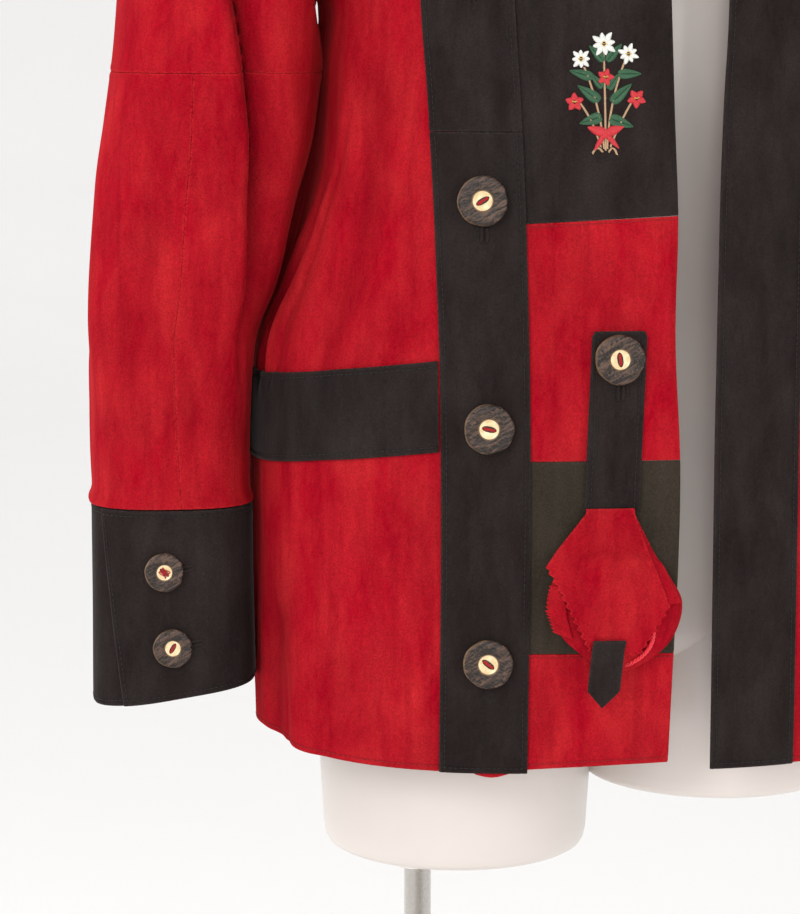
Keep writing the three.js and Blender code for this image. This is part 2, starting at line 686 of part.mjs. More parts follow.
// Level g is 0 at the armhole, 1 at the cross seam and 2 at the cuff.
function smoothSleeve(side, degrees, g) {
  if (g >= 1) return sleeveRing(side, degrees, CROSS_SEAM_Z + (CUFF_TOP - CROSS_SEAM_Z) * (g - 1));
  const start = armholePoint(side, degrees);
  const end = sleeveRing(side, degrees, CROSS_SEAM_Z);
  const far = start.distanceTo(end);
  const under = Math.sin(rad(degrees / 2)) ** 2;
  const drop = rad(START_DROP + UNDER_DROP * under);
  const leave = vec(side * Math.cos(drop), 0, -Math.sin(drop)).multiplyScalar(far * 1.1);
  const arrive = sleeveRing(side, degrees, CROSS_SEAM_Z - 5).sub(end).normalize().multiplyScalar(far);
  const t2 = g * g;
  const t3 = t2 * g;
  return start
    .multiplyScalar(2 * t3 - 3 * t2 + 1)
    .addScaledVector(leave, t3 - 2 * t2 + g)
    .addScaledVector(end, 3 * t2 - 2 * t3)
    .addScaledVector(arrive, t3 - t2);
}

function foldedSleeve(side, degrees, g) {
  const turned = ((degrees % 360) + 360) % 360;
  const point = smoothSleeve(side, turned, g);
  const surface = (a, b) => smoothSleeve(side, a, Math.max(b, 0));
  const normal = normalOf(surface, turned, g, 1, 0.004).multiplyScalar(side);
  const near = THREE.MathUtils.smoothstep(g, 0, 0.5);
  return point.addScaledVector(normal, near * foldRise(SLEEVE_FOLDS, turned, point.z));
}

function sleeve(side, degrees, g) {
  const surface = (a, b) => foldedSleeve(side, a, Math.max(b, 0));
  const normal = normalOf(surface, degrees, g, 1, 0.004).multiplyScalar(side);
  return { point: foldedSleeve(side, degrees, g), normal };
}

// Angles of the sleeve's ring, closer together round the deep fold at its front.
const SLEEVE_SIDES = 26;
const SLEEVE_CROWD = 14;
const crowd = (share) => share * 360 - SLEEVE_CROWD * Math.sin(rad(share * 360 * 2 - 195)) - 3.6;

const FRONT_SEAM = { top: 76, cuff: 96 }; // lengthwise seam at the front of the sleeve
const BACK_SEAM = { top: 232, cuff: 236 }; // and the one behind the elbow

function sleeveTop(side) {
  const sample = (u, v) => sleeve(side, crowd(u), v * (1 - 0.002));
  return wall(SLEEVE_SIDES, 8, sample, 0, CLOTH, true);
}

const SLEEVE_GAP = 0.002; // of a level, at the cross seam
const SEAM_TURN = 0.2; // half gap of a lengthwise seam, in degrees

function sleevePart(side, from, to, columns) {
  const sample = (u, v) => {
    const start = from.top + (from.cuff - from.top) * v;
    let end = to.top + (to.cuff - to.top) * v;
    if (end < start) end += 360;
    const angle = start + SEAM_TURN + (end - start - 2 * SEAM_TURN) * u;
    return sleeve(side, angle, 1 + SLEEVE_GAP + (1 - 2 * SLEEVE_GAP) * v);
  };
  return wall(columns, 9, sample, 0, CLOTH);
}

// The cuff winds once round the wrist and laps over itself towards the front.
function cuffPoint(side, share, v) {
  const turn = CUFF_EDGE + CUFF_SLANT * (0.5 - v) + (360 + CUFF_LAP) * (1 - share);
  const end = CUFF_END + CUFF_DROP * Math.sin(rad(turn - CUFF_LEVEL));
  const z = end + (CUFF_TOP - 0.4 - end) * v;
  const at = sleeveRing(side, turn, z);
  const surface = (a, b) => sleeveRing(side, a, b);
  const normal = normalOf(surface, turn, z, 1, 1).multiplyScalar(-side);
  return { point: at.addScaledVector(normal, CUFF_SPIRAL * share), normal };
}

function cuff(side) {
  return wall(30, 3, (u, v) => cuffPoint(side, u, v), 0, CLOTH);
}

// ---------------------------------------------------------------- buttons
// A round horn button with a sunk middle and two holes, its back on z = 0.
function buttonGeometry() {
  const profile = [
    [0, 0.4],
    [BUTTON_R - 3, 0],
    [BUTTON_R - 0.4, 1.2],
    [BUTTON_R, BUTTON_T * 0.6],
    [BUTTON_R - 1.6, BUTTON_T],
    [BUTTON_EYE_R + 1.2, BUTTON_T - 0.5],
    [BUTTON_EYE_R, BUTTON_T - 2],
    [0, BUTTON_T - 2.2],
  ];
  const rings = profile.slice(1, -1).map(([r, z]) => {
    const ring = [];
    for (let i = 0; i < BUTTON_SIDES; i += 1) {
      const angle = rad((i * 360) / BUTTON_SIDES);
      ring.push(vec(r * Math.cos(angle), r * Math.sin(angle), z));
    }
    return ring;
  });
  let disc = toManifold(loft(rings));
  for (const x of [-BUTTON_HOLE_X, BUTTON_HOLE_X]) {
    const hole = turned([[BUTTON_HOLE_R, -BUTTON_T], [BUTTON_HOLE_R, 2 * BUTTON_T]], 6, x, 0);
    disc = disc.subtract(toManifold(hole));
  }
  return fromManifold(disc);
}

const BUTTON = buttonGeometry();

// A button set on a surface, with its holes turned by so many degrees.
function setButton({ point, normal }, lift, turn, size = 1) {
  const up = vec(0, 0, 1);
  const across = up.clone().cross(normal).normalize();
  const basis = new THREE.Matrix4().makeBasis(across, normal.clone().cross(across), normal);
  const place = point.clone().addScaledVector(normal, lift);
  const matrix = new THREE.Matrix4().makeTranslation(place.x, place.y, place.z);
  matrix.multiply(basis).multiply(new THREE.Matrix4().makeRotationZ(rad(turn)));
  matrix.multiply(new THREE.Matrix4().makeScale(size, size, size));
  return BUTTON.clone().applyMatrix4(matrix);
}

// ---------------------------------------------------------------- dress form and stand
function formGeometry() {
  const sides = 32;
  const rings = FORM.map((row) => {
    const ring = [];
    for (let i = 0; i < sides; i += 1) {
      const angle = rad((i * 360) / sides);
      const depth = Math.cos(angle) > 0 ? row.front : row.back;
      const x = row.width * Math.sin(angle);
      ring.push(vec(x, row.mid - depth * Math.cos(angle), row.z));
    }
    return ring;
  });
  let solid = toManifold(loft(rings));
  for (const thigh of THIGHS) {
    solid = solid.add(toManifold(thighGeometry(thigh)));
  }
  const mouth = THIGHS[0].low - 1;
  const bore = [[POLE_R + POLE_FIT, mouth], [POLE_R + POLE_FIT, mouth + SOCKET_DEPTH]];
  return fromManifold(solid.subtract(toManifold(turned(bore, 24, POLE_X, POLE_Y))));
}

// A thigh end with a softly rounded rim.
function thighGeometry({ x, wide, deep, low, high }) {
  const steps = [
    { z: low, scale: 0.9 },
    { z: low + 3, scale: 0.94 },
    { z: low + 12, scale: 0.962 },
    { z: low + 90, scale: 1.01 },
    { z: high, scale: 0.9 },
  ];
  const rings = steps.map(({ z, scale }) => {
    const ring = [];
    for (let i = 0; i < 28; i += 1) {
      const angle = rad((i * 360) / 28);
      ring.push(vec(x + wide * scale * Math.cos(angle), 2 + deep * scale * Math.sin(angle), z));
    }
    return ring;
  });
  return loft(rings);
}

function turned(profile, sides, x, y) {
  const rings = profile.map(([r, z]) => {
    const ring = [];
    for (let i = 0; i < sides; i += 1) {
      const angle = rad((i * 360) / sides);
      ring.push(vec(x + r * Math.cos(angle), y + r * Math.sin(angle), z));
    }
    return ring;
  });
  return loft(rings);
}

const COLLAR_R = 20;
const COLLAR_TOP = 46;

function footGeometry() {
  const plate = [[FOOT_R - 2, 0], [FOOT_R, 2], [FOOT_R, FOOT_T - 2], [FOOT_R - 2, FOOT_T]];
  const collar = [
    [COLLAR_R + 3, FOOT_T / 2],
    [COLLAR_R + 3, FOOT_T],
    [COLLAR_R, FOOT_T + 3],
    [COLLAR_R, COLLAR_TOP - 2],
    [COLLAR_R - 2, COLLAR_TOP],
  ];
  const bore = [[POLE_R + POLE_FIT, FOOT_T], [POLE_R + POLE_FIT, FOOT_T + COLLAR_TOP]];
  const solid = toManifold(turned(plate, 36, FOOT_X, 0)).add(toManifold(turned(collar, 24, POLE_X, POLE_Y)));
  return fromManifold(solid.subtract(toManifold(turned(bore, 24, POLE_X, POLE_Y))));
}

function poleGeometry() {
  const top = THIGHS[0].low + SOCKET_DEPTH - 2;
  return turned([[POLE_R, FOOT_T + 0.3], [POLE_R, top]], 20, POLE_X, POLE_Y);
}

// ---------------------------------------------------------------- assembly
const jacket = new THREE.Group();

function add(name, geometry, paint) {
  const mesh = new THREE.Mesh(geometry, new THREE.MeshStandardMaterial(paint));
  mesh.name = name;
  jacket.add(mesh);
}

add('right_front', frontPanel(-1), RED);
add('left_front', frontPanel(1), RED);
add('back', backPanel(), RED);
add('right_band_lower', band(-1, LOWER_BAND), BLACK);
add('right_band_upper', band(-1, UPPER_BAND), BLACK);
add('left_band', band(1, WHOLE_BAND), BLACK);
add('neck_band', neckBand(), BLACK);
BLOCKS.forEach((block, index) => add(block.name, plastronBlock(block, index), block.paint));
add('pocket_band', pocketBand(), BLACK);
add('strap', strap(), BLACK);
add('pouch_bag', pouchBag(), RED);
add('pouch_flap', pouchFlap(), RED);
add('pouch_tab', pouchTab(), BLACK);

for (const [name, side] of [['right', -1], ['left', 1]]) {
  add(`${name}_sleeve_top`, sleeveTop(side), RED);
  add(`${name}_sleeve_under`, sleevePart(side, FRONT_SEAM, BACK_SEAM, 16), RED);
  add(`${name}_sleeve_outer`, sleevePart(side, BACK_SEAM, FRONT_SEAM, 12), RED);
  add(`${name}_cuff`, cuff(side), BLACK);
  for (const { name: label, z, angle } of CUFF_BUTTONS) {
    const v = (z - CUFF_END) / (CUFF_TOP - 0.4 - CUFF_END);
    const share = 1 - (angle - CUFF_EDGE - CUFF_SLANT * (0.5 - v)) / (360 + CUFF_LAP);
    const place = cuffPoint(side, share, v);
    add(`${name}_${label}`, setButton(place, CLOTH + LAP, 20, CUFF_BUTTON_SIZE), HORN);
  }
}
for (const { name, z } of BAND_BUTTONS) {
  const h = heightLevel(z);
  const lift = BAND_TOP + LAP + (h > 1 ? BAND_EASE : 0);
  add(name, setButton(bodyAt(BAND_BUTTON_IN - bandMiddle(h), h), lift, BAND_BUTTON_TURN), HORN);
}
const STRAP_BUTTON_Z = 999;
const strapButtonAt = bodyAt(strapMiddle(STRAP_BUTTON_Z), heightLevel(STRAP_BUTTON_Z));
add('strap_button', setButton(strapButtonAt, STRAP_OUT + LAP, 70), HORN);
add('dress_form', formGeometry(), SHELL);
add('stand_pole', poleGeometry(), STEEL);
add('stand_foot', footGeometry(), STEEL);

export default jacket;
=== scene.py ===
"""A suede jacket in colour blocks, worn open on a limbless dress form with a pole stand.

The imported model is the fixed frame. Every piece of cloth is a thin shell on the same surface as its
solid, cut finer and with more creases. Sizes below are millimetres unless they say metres; +Z is up,
the wearer faces -Y and the wearer's left is +X.
"""

import math

import bpy
import numpy as np
from bpy.props import FloatProperty, FloatVectorProperty, PointerProperty
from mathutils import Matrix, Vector


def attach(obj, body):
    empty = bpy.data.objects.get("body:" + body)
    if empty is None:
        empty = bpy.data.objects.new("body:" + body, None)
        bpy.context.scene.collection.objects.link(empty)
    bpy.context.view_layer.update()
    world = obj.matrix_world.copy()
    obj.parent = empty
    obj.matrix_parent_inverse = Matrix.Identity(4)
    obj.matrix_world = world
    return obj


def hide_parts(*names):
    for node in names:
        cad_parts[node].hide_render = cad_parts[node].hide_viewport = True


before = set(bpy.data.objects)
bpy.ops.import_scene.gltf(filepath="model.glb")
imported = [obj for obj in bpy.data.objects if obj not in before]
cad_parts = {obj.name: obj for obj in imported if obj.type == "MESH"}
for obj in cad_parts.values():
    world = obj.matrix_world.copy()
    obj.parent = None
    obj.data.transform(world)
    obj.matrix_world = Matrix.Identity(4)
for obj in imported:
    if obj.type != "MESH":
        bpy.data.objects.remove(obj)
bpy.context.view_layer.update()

bl_info = {
    "name": "Suede Jacket on a Dress Form",
    "version": (1, 0, 0),
    "blender": (4, 5, 0),
    "location": "View3D > Sidebar > Jacket",
    "description": "Builds a colour-blocked suede jacket on a dress form, piece by piece",
    "category": "Object",
}

MM = 0.001

# ---------------------------------------------------------------- sizes of the cut, as in the solids
HEM_Z, CHEST_Z, NECK_Z = 740, 1180, 1475
NECK_X, BACK_NECK = 78, 62
SHOULDER_FALL, SHOULDER_BACK, SHOULDER_ROUND = 0.4, 8, 0.8
SQUARE = 0.1
HEM_RISE = 14
UNDERARM_H = 1.06
TOP_H = 1.998
CLOTH, LAP, SEAM = 2.0, 0.8, 0.3
BAND_W = 54
BAND_SEAM_Z = 1137
BAND_EASE = 0.5
BAND_SEAT = 1.2  # how far a band comes down at the shoulder seam
UNDER_BAND = 17
BAND_LIFT = CLOTH + LAP
BAND_TOP = BAND_LIFT + CLOTH
PLASTRON_IN, PLASTRON_TOP_H = 90, 1.2
HEM_DIP = 4.5  # how far the plastron's hem drops below the band
POCKET_W, POCKET_Z, POCKET_DROP = 56, 942, 17
STRAP_W, STRAP_TOP, STRAP_END = 34, 1016, 905
STRAP_OUT = CLOTH + LAP + CLOTH + 0.4
CROSS_SEAM_Z, CUFF_TOP, CUFF_END = 1172, 898, 776
CUFF_EDGE, CUFF_LAP, CUFF_SLANT, CUFF_SPIRAL = 46, 46, 16, 3.4
CUFF_GAP = 0.4
CUFF_DROP, CUFF_LEVEL = 8, 85  # slope of the cuff's end, angle of its middle height
BUTTON_R, BUTTON_T, BUTTON_EYE_R = 15.8, 5.2, 6.0
POUCH_X, BAG_LIFT, FLAP_CLEAR, FLAP_T = -12, CLOTH + 0.5, 1.3, 1.6
TAB_END, TAB_LENGTH, TAB_W, TAB_LEAN = 785, 43, 20, 4
TAB_T, FRILL_T = 1.8, 1.2
POLE_X, POLE_Y, POLE_R = -110, 10, 9
FOOT_X, FOOT_R, FOOT_T = -45, 190, 8

# Height, half width, depth to the front, depth to the back.
BODY = (
    (740, 216, 136, 126), (800, 217, 138, 126), (890, 216, 140, 122), (950, 215, 139, 119),
    (1000, 210, 138, 117), (1040, 195, 136, 116), (1080, 183, 134, 116), (1120, 175, 131, 117),
    (1180, 171, 127, 118), (1225, 171, 124, 118), (1270, 196, 121, 118), (1330, 219, 118, 117),
    (1400, 228, 115, 115), (1475, 232, 112, 112),
)
WIDTH, FRONT, BACK = 1, 2, 3
# Height and distance from the centre of three lines down the body.
ARMHOLE = ((1180, 171), (1215, 170.5), (1270, 174), (1330, 179), (1400, 193), (1475, 215))
BAND_LINE = (
    (740, 84.5), (935, 84), (1083, 86.5), (1150, 89), (1203, 92), (1300, 96), (1475, 106),
)
FREE_EDGE = (
    (740, 31), (800, 33), (870, 35.5), (935, 36), (1010, 32.5), (1083, 34), (1150, 32), (1300, 28),
)
REACH = 1
# The plastron's blocks from the hem up: name, lower seam under the band and at the free edge, suede.
BLOCKS = (
    ("plastron_hem_block", 741, 745, "red"),
    ("plastron_green_block", 816, 815, "green"),
    ("plastron_red_block", 936, 936, "red"),
    ("plastron_black_block", 1080, 1086, "black"),
)
# A fold runs from angle low at z0 to angle high at z1 and is wide degrees wide and rise high.
FOLDS = (
    (-50, -52, 900, 1215, 4.5, -4), (-61, -60, 960, 1215, 4, 4), (-71, -62, 985, 1120, 3.2, 4),
    (-80, -68, 980, 1110, 3.2, -4), (-88, -74, 975, 1100, 3, 3.5), (-66, -64, 735, 850, 5, -4.5),
    (-80, -79, 735, 800, 5, 2.5), (-54, -56, 735, 840, 5, 3), (-103, -98, 740, 1060, 6, -5),
    (-124, -112, 740, 1120, 7, 5), (-108, -108, 742, 1215, 13, 15), (-145, -150, 740, 980, 7, -5),
    (-165, -158, 740, 1060, 7, 4),
    (176, 172, 740, 930, 6, -4), (156, 162, 740, 1090, 8, 5), (134, 140, 740, 1010, 6, -5),
    (112, 106, 740, 1130, 7, 4.5), (113, 112, 745, 1160, 12, 11), (97, 96, 740, 930, 5, -4),
    (84, 71, 960, 1110, 3.4, 3.5),
    (74, 65, 985, 1140, 3.4, -3.5), (78, 77, 735, 800, 5, 2.5), (63, 66, 735, 860, 5, -4),
    (52, 54, 880, 1210, 5, -4), (62, 62, 1000, 1220, 4, 3.5),
)
# Finer creases of the cloth, in the same terms.
CREASES = (
    (-66, -57, 1010, 1180, 1.6, -2.4), (-75.5, -63, 1000, 1150, 1.6, -3),
    (-84, -70, 985, 1120, 1.5, -2.8), (-78, -66, 1010, 1105, 1.2, 1.8),
    (-57, -58.5, 1030, 1200, 1.8, 1.1), (-46, -47, 1040, 1160, 2.2, -0.8),
    (-72, -73, 745, 838, 1.8, 1.4), (-60.5, -60, 735, 812, 1.6, -1.5), (-86, -83, 735, 872, 2, -1.6),
    (-50, -49, 735, 776, 2.4, -0.9), (-69, -75, 860, 930, 2.6, 0.9), (-57, -52, 850, 925, 3, -0.8),
    (-110, -104, 752, 940, 2.2, 1.7), (-117, -108, 880, 1100, 1.9, -1.6),
    (-132, -128, 740, 860, 2.2, -1.8), (-139, -146, 900, 1070, 2.4, 1.6),
    (-153, -151, 740, 850, 2.2, 1.4), (-172, -168, 800, 960, 2.6, -1.6),
    (179, 176, 980, 1160, 2.8, 1.3), (166, 168, 740, 870, 2.4, 1.5), (148, 152, 830, 1010, 2.2, -1.7),
    (141, 147, 1010, 1180, 2.6, 1.2), (126, 123, 740, 905, 2.2, -1.5), (119, 112, 930, 1120, 2, -1.6),
    (104, 100, 740, 820, 2, 1.5), (90, 88, 740, 880, 2, -1.5), (79, 66, 1000, 1130, 1.4, -1.5),
    (87, 74, 975, 1105, 1.3, 1.3), (70, 72, 735, 826, 1.9, 1.3), (57, 58, 735, 800, 1.8, -1.3),
    (66, 58, 1020, 1190, 1.7, -1.4), (47, 48, 1000, 1150, 2.4, 0.9), (-140, -120, 1120, 1230, 3, -1.6),
    (-128, -112, 1170, 1300, 3, 1.5), (138, 118, 1110, 1240, 3, -1.7), (126, 112, 1180, 1290, 3, 1.3),
    (-66, -52, 1190, 1330, 3, -1.5), (-74, -60, 1200, 1360, 2.6, 1.4), (70, 55, 1190, 1340, 3, -1.4),
    (-92, -95, 1000, 1120, 2, -1.4), (93, 90, 990, 1110, 2, 1.4),
    (-84, -76, 962, 1075, 1.7, 3.6), (-79, -72, 962, 1085, 1.4, -4.2), (-74, -68, 960, 1095, 1.5, 3.2),
    (-69, -63, 960, 1090, 1.2, -3.4), (-98, -98, 1150, 1345, 8, 3.5), (98, 98, 1150, 1345, 8, 3.5),
)
# Height, outermost and innermost distance from the centre, middle and half depth.
SLEEVE = (
    (770, 322, 224, -17, 49), (898, 322, 225, -14, 48), (1000, 322, 220, -13, 54),
    (1040, 321, 206, -12, 58), (1090, 317, 194, -11, 62), (1130, 313, 183, -9, 66),
    (1172, 307, 179.5, -7, 70),
)
OUTERMOST, INNERMOST, MIDDLE, DEPTH = 1, 2, 3, 4
SLEEVE_FOLDS = (
    (136, 77, 985, 1310, 9, -11), (158, 104, 1010, 1260, 9, 4), (60, 66, 930, 1130, 12, -3),
    (24, 20, 960, 1160, 13, 3), (262, 250, 940, 1180, 13, -5), (300, 310, 990, 1240, 14, 4),
    (215, 222, 1000, 1190, 10, 3),
)
SLEEVE_CREASES = (
    (112, 98, 900, 1010, 5, -1.5), (78, 84, 898, 985, 4, 1.2), (50, 44, 910, 1030, 4, -1.3),
    (30, 38, 1010, 1150, 5, -1.1), (8, 352, 898, 1015, 5, 1.2), (88, 70, 1150, 1290, 4, 1.6),
    (64, 52, 1180, 1330, 5, -1.8), (40, 30, 1190, 1350, 6, 1.4), (345, 335, 1100, 1260, 6, -1.3),
    (322, 330, 898, 1000, 5, -1.5), (285, 276, 900, 1080, 5, 1.7), (240, 236, 900, 1010, 4, -1.3),
    (238, 262, 1150, 1300, 5, -1.8), (205, 212, 930, 1060, 5, 1.1), (172, 165, 960, 1080, 4, -1.2),
    (188, 186, 1120, 1360, 24, 5.5), (150, 132, 925, 1090, 4, 1.3), (126, 106, 1040, 1160, 3.5, 1.5),
    (108, 92, 1110, 1240, 3, -1.3),
)
ROLL_RISE, ROLL_REACH = 2.7, 6  # of the sleeve's lower edge over the cuff
DEEP_WIDE, LIP_RISE = 17, 2.2  # reach of the sleeve's deep fold in degrees, roll of its lip
# Height, half width, depth to the front and back, middle of the dress form.
FORM = (
    (786, 100, 52, 56, 0), (796, 146, 82, 86, 0), (818, 172, 100, 102, 0), (850, 180, 106, 108, 0),
    (900, 179, 105, 108, 0), (950, 169, 99, 101, 0), (1005, 151, 92, 88, 0), (1055, 139, 89, 80, 1),
    (1110, 140, 94, 80, 2), (1175, 149, 104, 86, 3), (1240, 154, 98, 90, 4), (1310, 160, 80, 84, 6),
    (1370, 172, 62, 66, 7), (1405, 182, 46, 50, 8), (1422, 186, 38, 40, 8), (1432, 181, 32, 32, 8),
    (1445, 149, 34, 31, 8), (1458, 117, 36, 26, 8), (1466, 94, 38, 18, 8), (1471, 74, 42, 22, 8),
    (1482, 61, 48, 36, 8), (1502, 57, 52, 50, 8), (1536, 57, 54, 54, 8), (1543, 50, 47, 47, 8),
)
FORM_INSET = 0.994  # keeps the finer form inside the coarser solid
# Middle, half width, half depth, lower and upper end of the two thigh ends.
THIGHS = ((-86, 91, 98, 664, 862), (86, 91, 98, 707, 862))
# Name, height and turn of the thread on each button of the band.
BAND_BUTTONS = (
    ("band_button_1", 1234, 28), ("band_button_2", 1095, 31), ("band_button_3", 957, -12),
    ("band_button_4", 811, -38),
)
BAND_BUTTON_IN = 2
HOLES_IN_VIEW = ("band_button_1", "band_button_2")  # their buttonholes show below them
STRAP_BUTTON_Z, STRAP_BUTTON_TURN = 999, 98
CUFF_BUTTONS = (("upper", 859, 83, 140), ("lower", 810, 88, 60))
CUFF_BUTTON_SIZE = 0.8
CUFF_HOLE_AWAY, CUFF_HOLE_UP = 22.3 / 410, 0.012  # shares of the cuff's round and depth
# Corners of the flap: height, distance of each edge from the pouch's middle.
FLAP = ((816, 8.8, 21), (848, 24.7, 38.9), (872, 36.6, 30.4), (904.5, 11.3, 18.8))
FLAP_TOP = 907.3  # its upper edge laps over the strap's end
# Height, half width, thickness and shift of the gathered bag.
BAG = (
    (805, 8, 4, 9.5), (814, 21, 9, 10.5), (827, 33.5, 14, 9), (849, 41, 17, 6.4), (866, 35, 13, 4.5),
    (876, 29, 8, 4), (881, 20, 3, 4),
)
BAG_WIDTH, BAG_THICK, BAG_SHIFT = 1, 2, 3
# Lengths along the cloth by which its meshes are spaced, and how much coarser or finer than
# the pitch some of them are.
FRONT_ROUND, BACK_ROUND, BODY_DOWN, LEVEL_DOWN = 300, 560, 790, 395
NECK_ROUND, NECK_DOWN, POCKET_ROUND, PLASTRON_ROUND, STRAP_DOWN = 200, 22, 190, 124, 111
SLEEVE_ROUND, SLEEVE_TOP_DOWN, SLEEVE_PART_DOWN, CUFF_ROUND, CUFF_DEEP = 400, 270, 274, 370, 121
LEFT_FRONT_PITCH, BACK_PITCH, RIGHT_SLEEVE_PITCH, LEFT_SLEEVE_PITCH = 1.8, 1.75, 0.8, 1.7
CORD_BEND = ((17, 837), (20, 819), (1.5, 809))  # the cord's ends and the pull of its bend
CORD_PLIES, CORD_TURNS, CORD_PLY_OFF, CORD_PLY_R = 3, 5, 0.75, 0.8
FRONT_SEAM, BACK_SEAM = (76, 96), (232, 236)  # angles of the sleeve's long seams, top and bottom

# ---------------------------------------------------------------- camera and light, metres
EYE_AZIMUTH, EYE_DOWN, EYE_AWAY = -6.0, 8.0, 1.9
AIM = (-0.1376, -0.140, 0.9405)
LENS, SENSOR = 122.65, 36.0
# Name, place, size, watts and colour of each lamp.
LIGHTS = (
    ("key", (-1.6, -2.2, 2.3), 1.1, 26, (1.0, 0.97, 0.95)),
    ("front", (-0.25, -2.4, 1.25), 0.7, 9, (1.0, 0.98, 0.96)),
    ("fill", (2.0, -2.0, 1.4), 1.6, 12, (1.0, 0.98, 0.97)),
    ("rim_left", (-1.9, 0.4, 1.5), 0.9, 14, (1.0, 0.98, 0.96)),
)
LIT_SPOT = (-0.08, -0.1, 1.0)
SURROUND = (1.0, 0.99, 0.98)
# The floor's depth and height as it sweeps up, and half its width.
SWEEP = ((-10.0, 0.0), (7.6, 0.0), (8.2, 0.06), (8.7, 0.24), (9.1, 0.6), (9.3, 1.1), (9.3, 6.5))
SWEEP_HALF = 10.0


# ---------------------------------------------------------------- curves
def along(table, column, z):
    """Smooth curve through one column of a table whose first column is the height."""
    rows = np.asarray(table, float)
    zs, vs = rows[:, 0], rows[:, column]
    last = len(zs) - 1
    k = np.arange(last + 1)
    low, high = np.maximum(k - 1, 0), np.minimum(k + 1, last)
    slope = (vs[high] - vs[low]) / (zs[high] - zs[low])
    at = np.clip(z, zs[0], zs[-1])
    i = np.clip(np.searchsorted(zs, at, side="left") - 1, 0, last - 1)
    span = zs[i + 1] - zs[i]
    t = (at - zs[i]) / span
    h = t * t * (3 - 2 * t)
    bend = (1 - t) * slope[i] - t * slope[i + 1]
    return vs[i] + (vs[i + 1] - vs[i]) * h + span * t * (1 - t) * bend


def step(x, a, b):
    """Smooth rise from 0 at a to 1 at b."""
    t = np.clip((x - a) / (b - a), 0, 1)
    return t * t * (3 - 2 * t)


def fold_rise(folds, angle, z):
    """Height of all the folds together at an angle and a height."""
    total = np.zeros(np.broadcast(angle, z).shape)
    for low, high, z0, z1, wide, rise in folds:
        t = (z - z0) / (z1 - z0)
        turn = (high - low + 180) % 360 - 180
        off = ((angle - low - turn * t + 180) % 360 - 180) / wide
        ease = (z1 - z0) * 0.3
        start = 1.0 if z0 < HEM_Z + 1 else step(z, z0, z0 + ease)
        total += rise * np.exp(-off * off) * start * (1 - step(z, z1 - ease, z1))
    return total


def normal_of(surface, u, v, du, dv):
    """Unit directions across a surface at u, v, from a small step either way."""
    across = surface(u + du, v) - surface(u - du, v)
    up = surface(u, v + dv) - surface(u, v - dv)
    out = np.cross(across, up)
    return out / np.maximum(np.linalg.norm(out, axis=-1, keepdims=True), 1e-9)


def level_of(h):
    """Height, lean and climb of a level: 0 at the hem, 1 under the shoulders, 2 at the shoulder seam."""
    lean = np.radians(np.maximum(h - 1, 0) * 90)
    climb = np.abs(np.sin(lean)) ** SHOULDER_ROUND
    upper = CHEST_Z + (NECK_Z - CHEST_Z) * climb
    return np.where(h > 1, upper, HEM_Z + (CHEST_Z - HEM_Z) * h), lean, climb


def height_level(z):
    """The level whose height on the body is z."""
    z = np.asarray(z, float)
    climb = np.clip((z - CHEST_Z) / (NECK_Z - CHEST_Z), 0, 1)
    upper = 1 + np.degrees(np.arcsin(climb ** (1 / SHOULDER_ROUND))) / 90
    return np.where(z <= CHEST_Z, (z - HEM_Z) / (CHEST_Z - HEM_Z), upper)


def bulge(a):
    """Squares the corners of an oval a little."""
    return 1 + SQUARE * np.sin(2 * a) ** 2


QUARTER = np.linspace(0, math.pi / 2, 6001)
QUARTER_REACH = np.sin(QUARTER) * bulge(QUARTER)


def angle_at(x, h):
    """Angle round the body, 0 at the front, at a distance x from the centre."""
    share = np.minimum(np.abs(x) / along(BODY, WIDTH, level_of(h)[0]), 1)
    return np.degrees(np.interp(share, QUARTER_REACH, QUARTER)) * np.sign(x)


def smooth_body(degrees, h):
    """Points of the body before its folds; positive angles are the wearer's left."""
    z, lean, climb = level_of(h)
    a = np.radians(np.abs(degrees))
    depth = np.where(np.abs(degrees) < 90, along(BODY, FRONT, z), along(BODY, BACK, z))
    reach = along(BODY, WIDTH, z) * np.sin(a) * bulge(a)
    y = SHOULDER_BACK * np.sin(lean) ** 2 - depth * np.cos(a) * bulge(a) * np.cos(lean)
    seam = NECK_Z - SHOULDER_FALL * np.maximum(reach - NECK_X, 0)
    rise = HEM_RISE * np.sin(a) ** 4 * np.maximum(1 - h * 3, 0) ** 2
    up = np.where(h > 1, CHEST_Z + (seam - CHEST_Z) * climb, z + rise)
    return np.stack(np.broadcast_arrays(np.sign(degrees) * reach, y, up), axis=-1)


STEP_ANGLE, STEP_LEVEL = 0.4, 0.004


def folded_body(degrees, h):
    """Points of the body with its folds and creases."""
    degrees = (np.asarray(degrees, float) + 180) % 360 - 180
    point = smooth_body(degrees, h)
    start = np.where(degrees == 0, STEP_ANGLE, degrees)
    top = np.maximum(np.minimum(h, 1.97), STEP_LEVEL)
    normal = normal_of(smooth_body, start, top, STEP_ANGLE, STEP_LEVEL)
    return point + normal * fold_rise(FOLDS + CREASES, degrees, point[..., 2])[..., None]


def body(degrees, h):
    """Points of the folded body and their outward directions."""
    return folded_body(degrees, h), normal_of(folded_body, degrees, h, STEP_ANGLE, STEP_LEVEL)


def body_at(x, h):
    """As body, by the distance from the centre."""
    return body(angle_at(x, h), h)


def band_middle(h):
    """Distance of the front bands' middle from the centre."""
    return along(BAND_LINE, REACH, level_of(h)[0])


def armhole_angle(h):
    """Angle of the armhole seam."""
    return angle_at(along(ARMHOLE, REACH, level_of(h)[0]), h)


def side_angle(h):
    """The side seam, and above the underarm the armhole seam."""
    return 90 + (armhole_angle(h) - 90) * step(h, UNDERARM_H - 0.004, UNDERARM_H + 0.004)


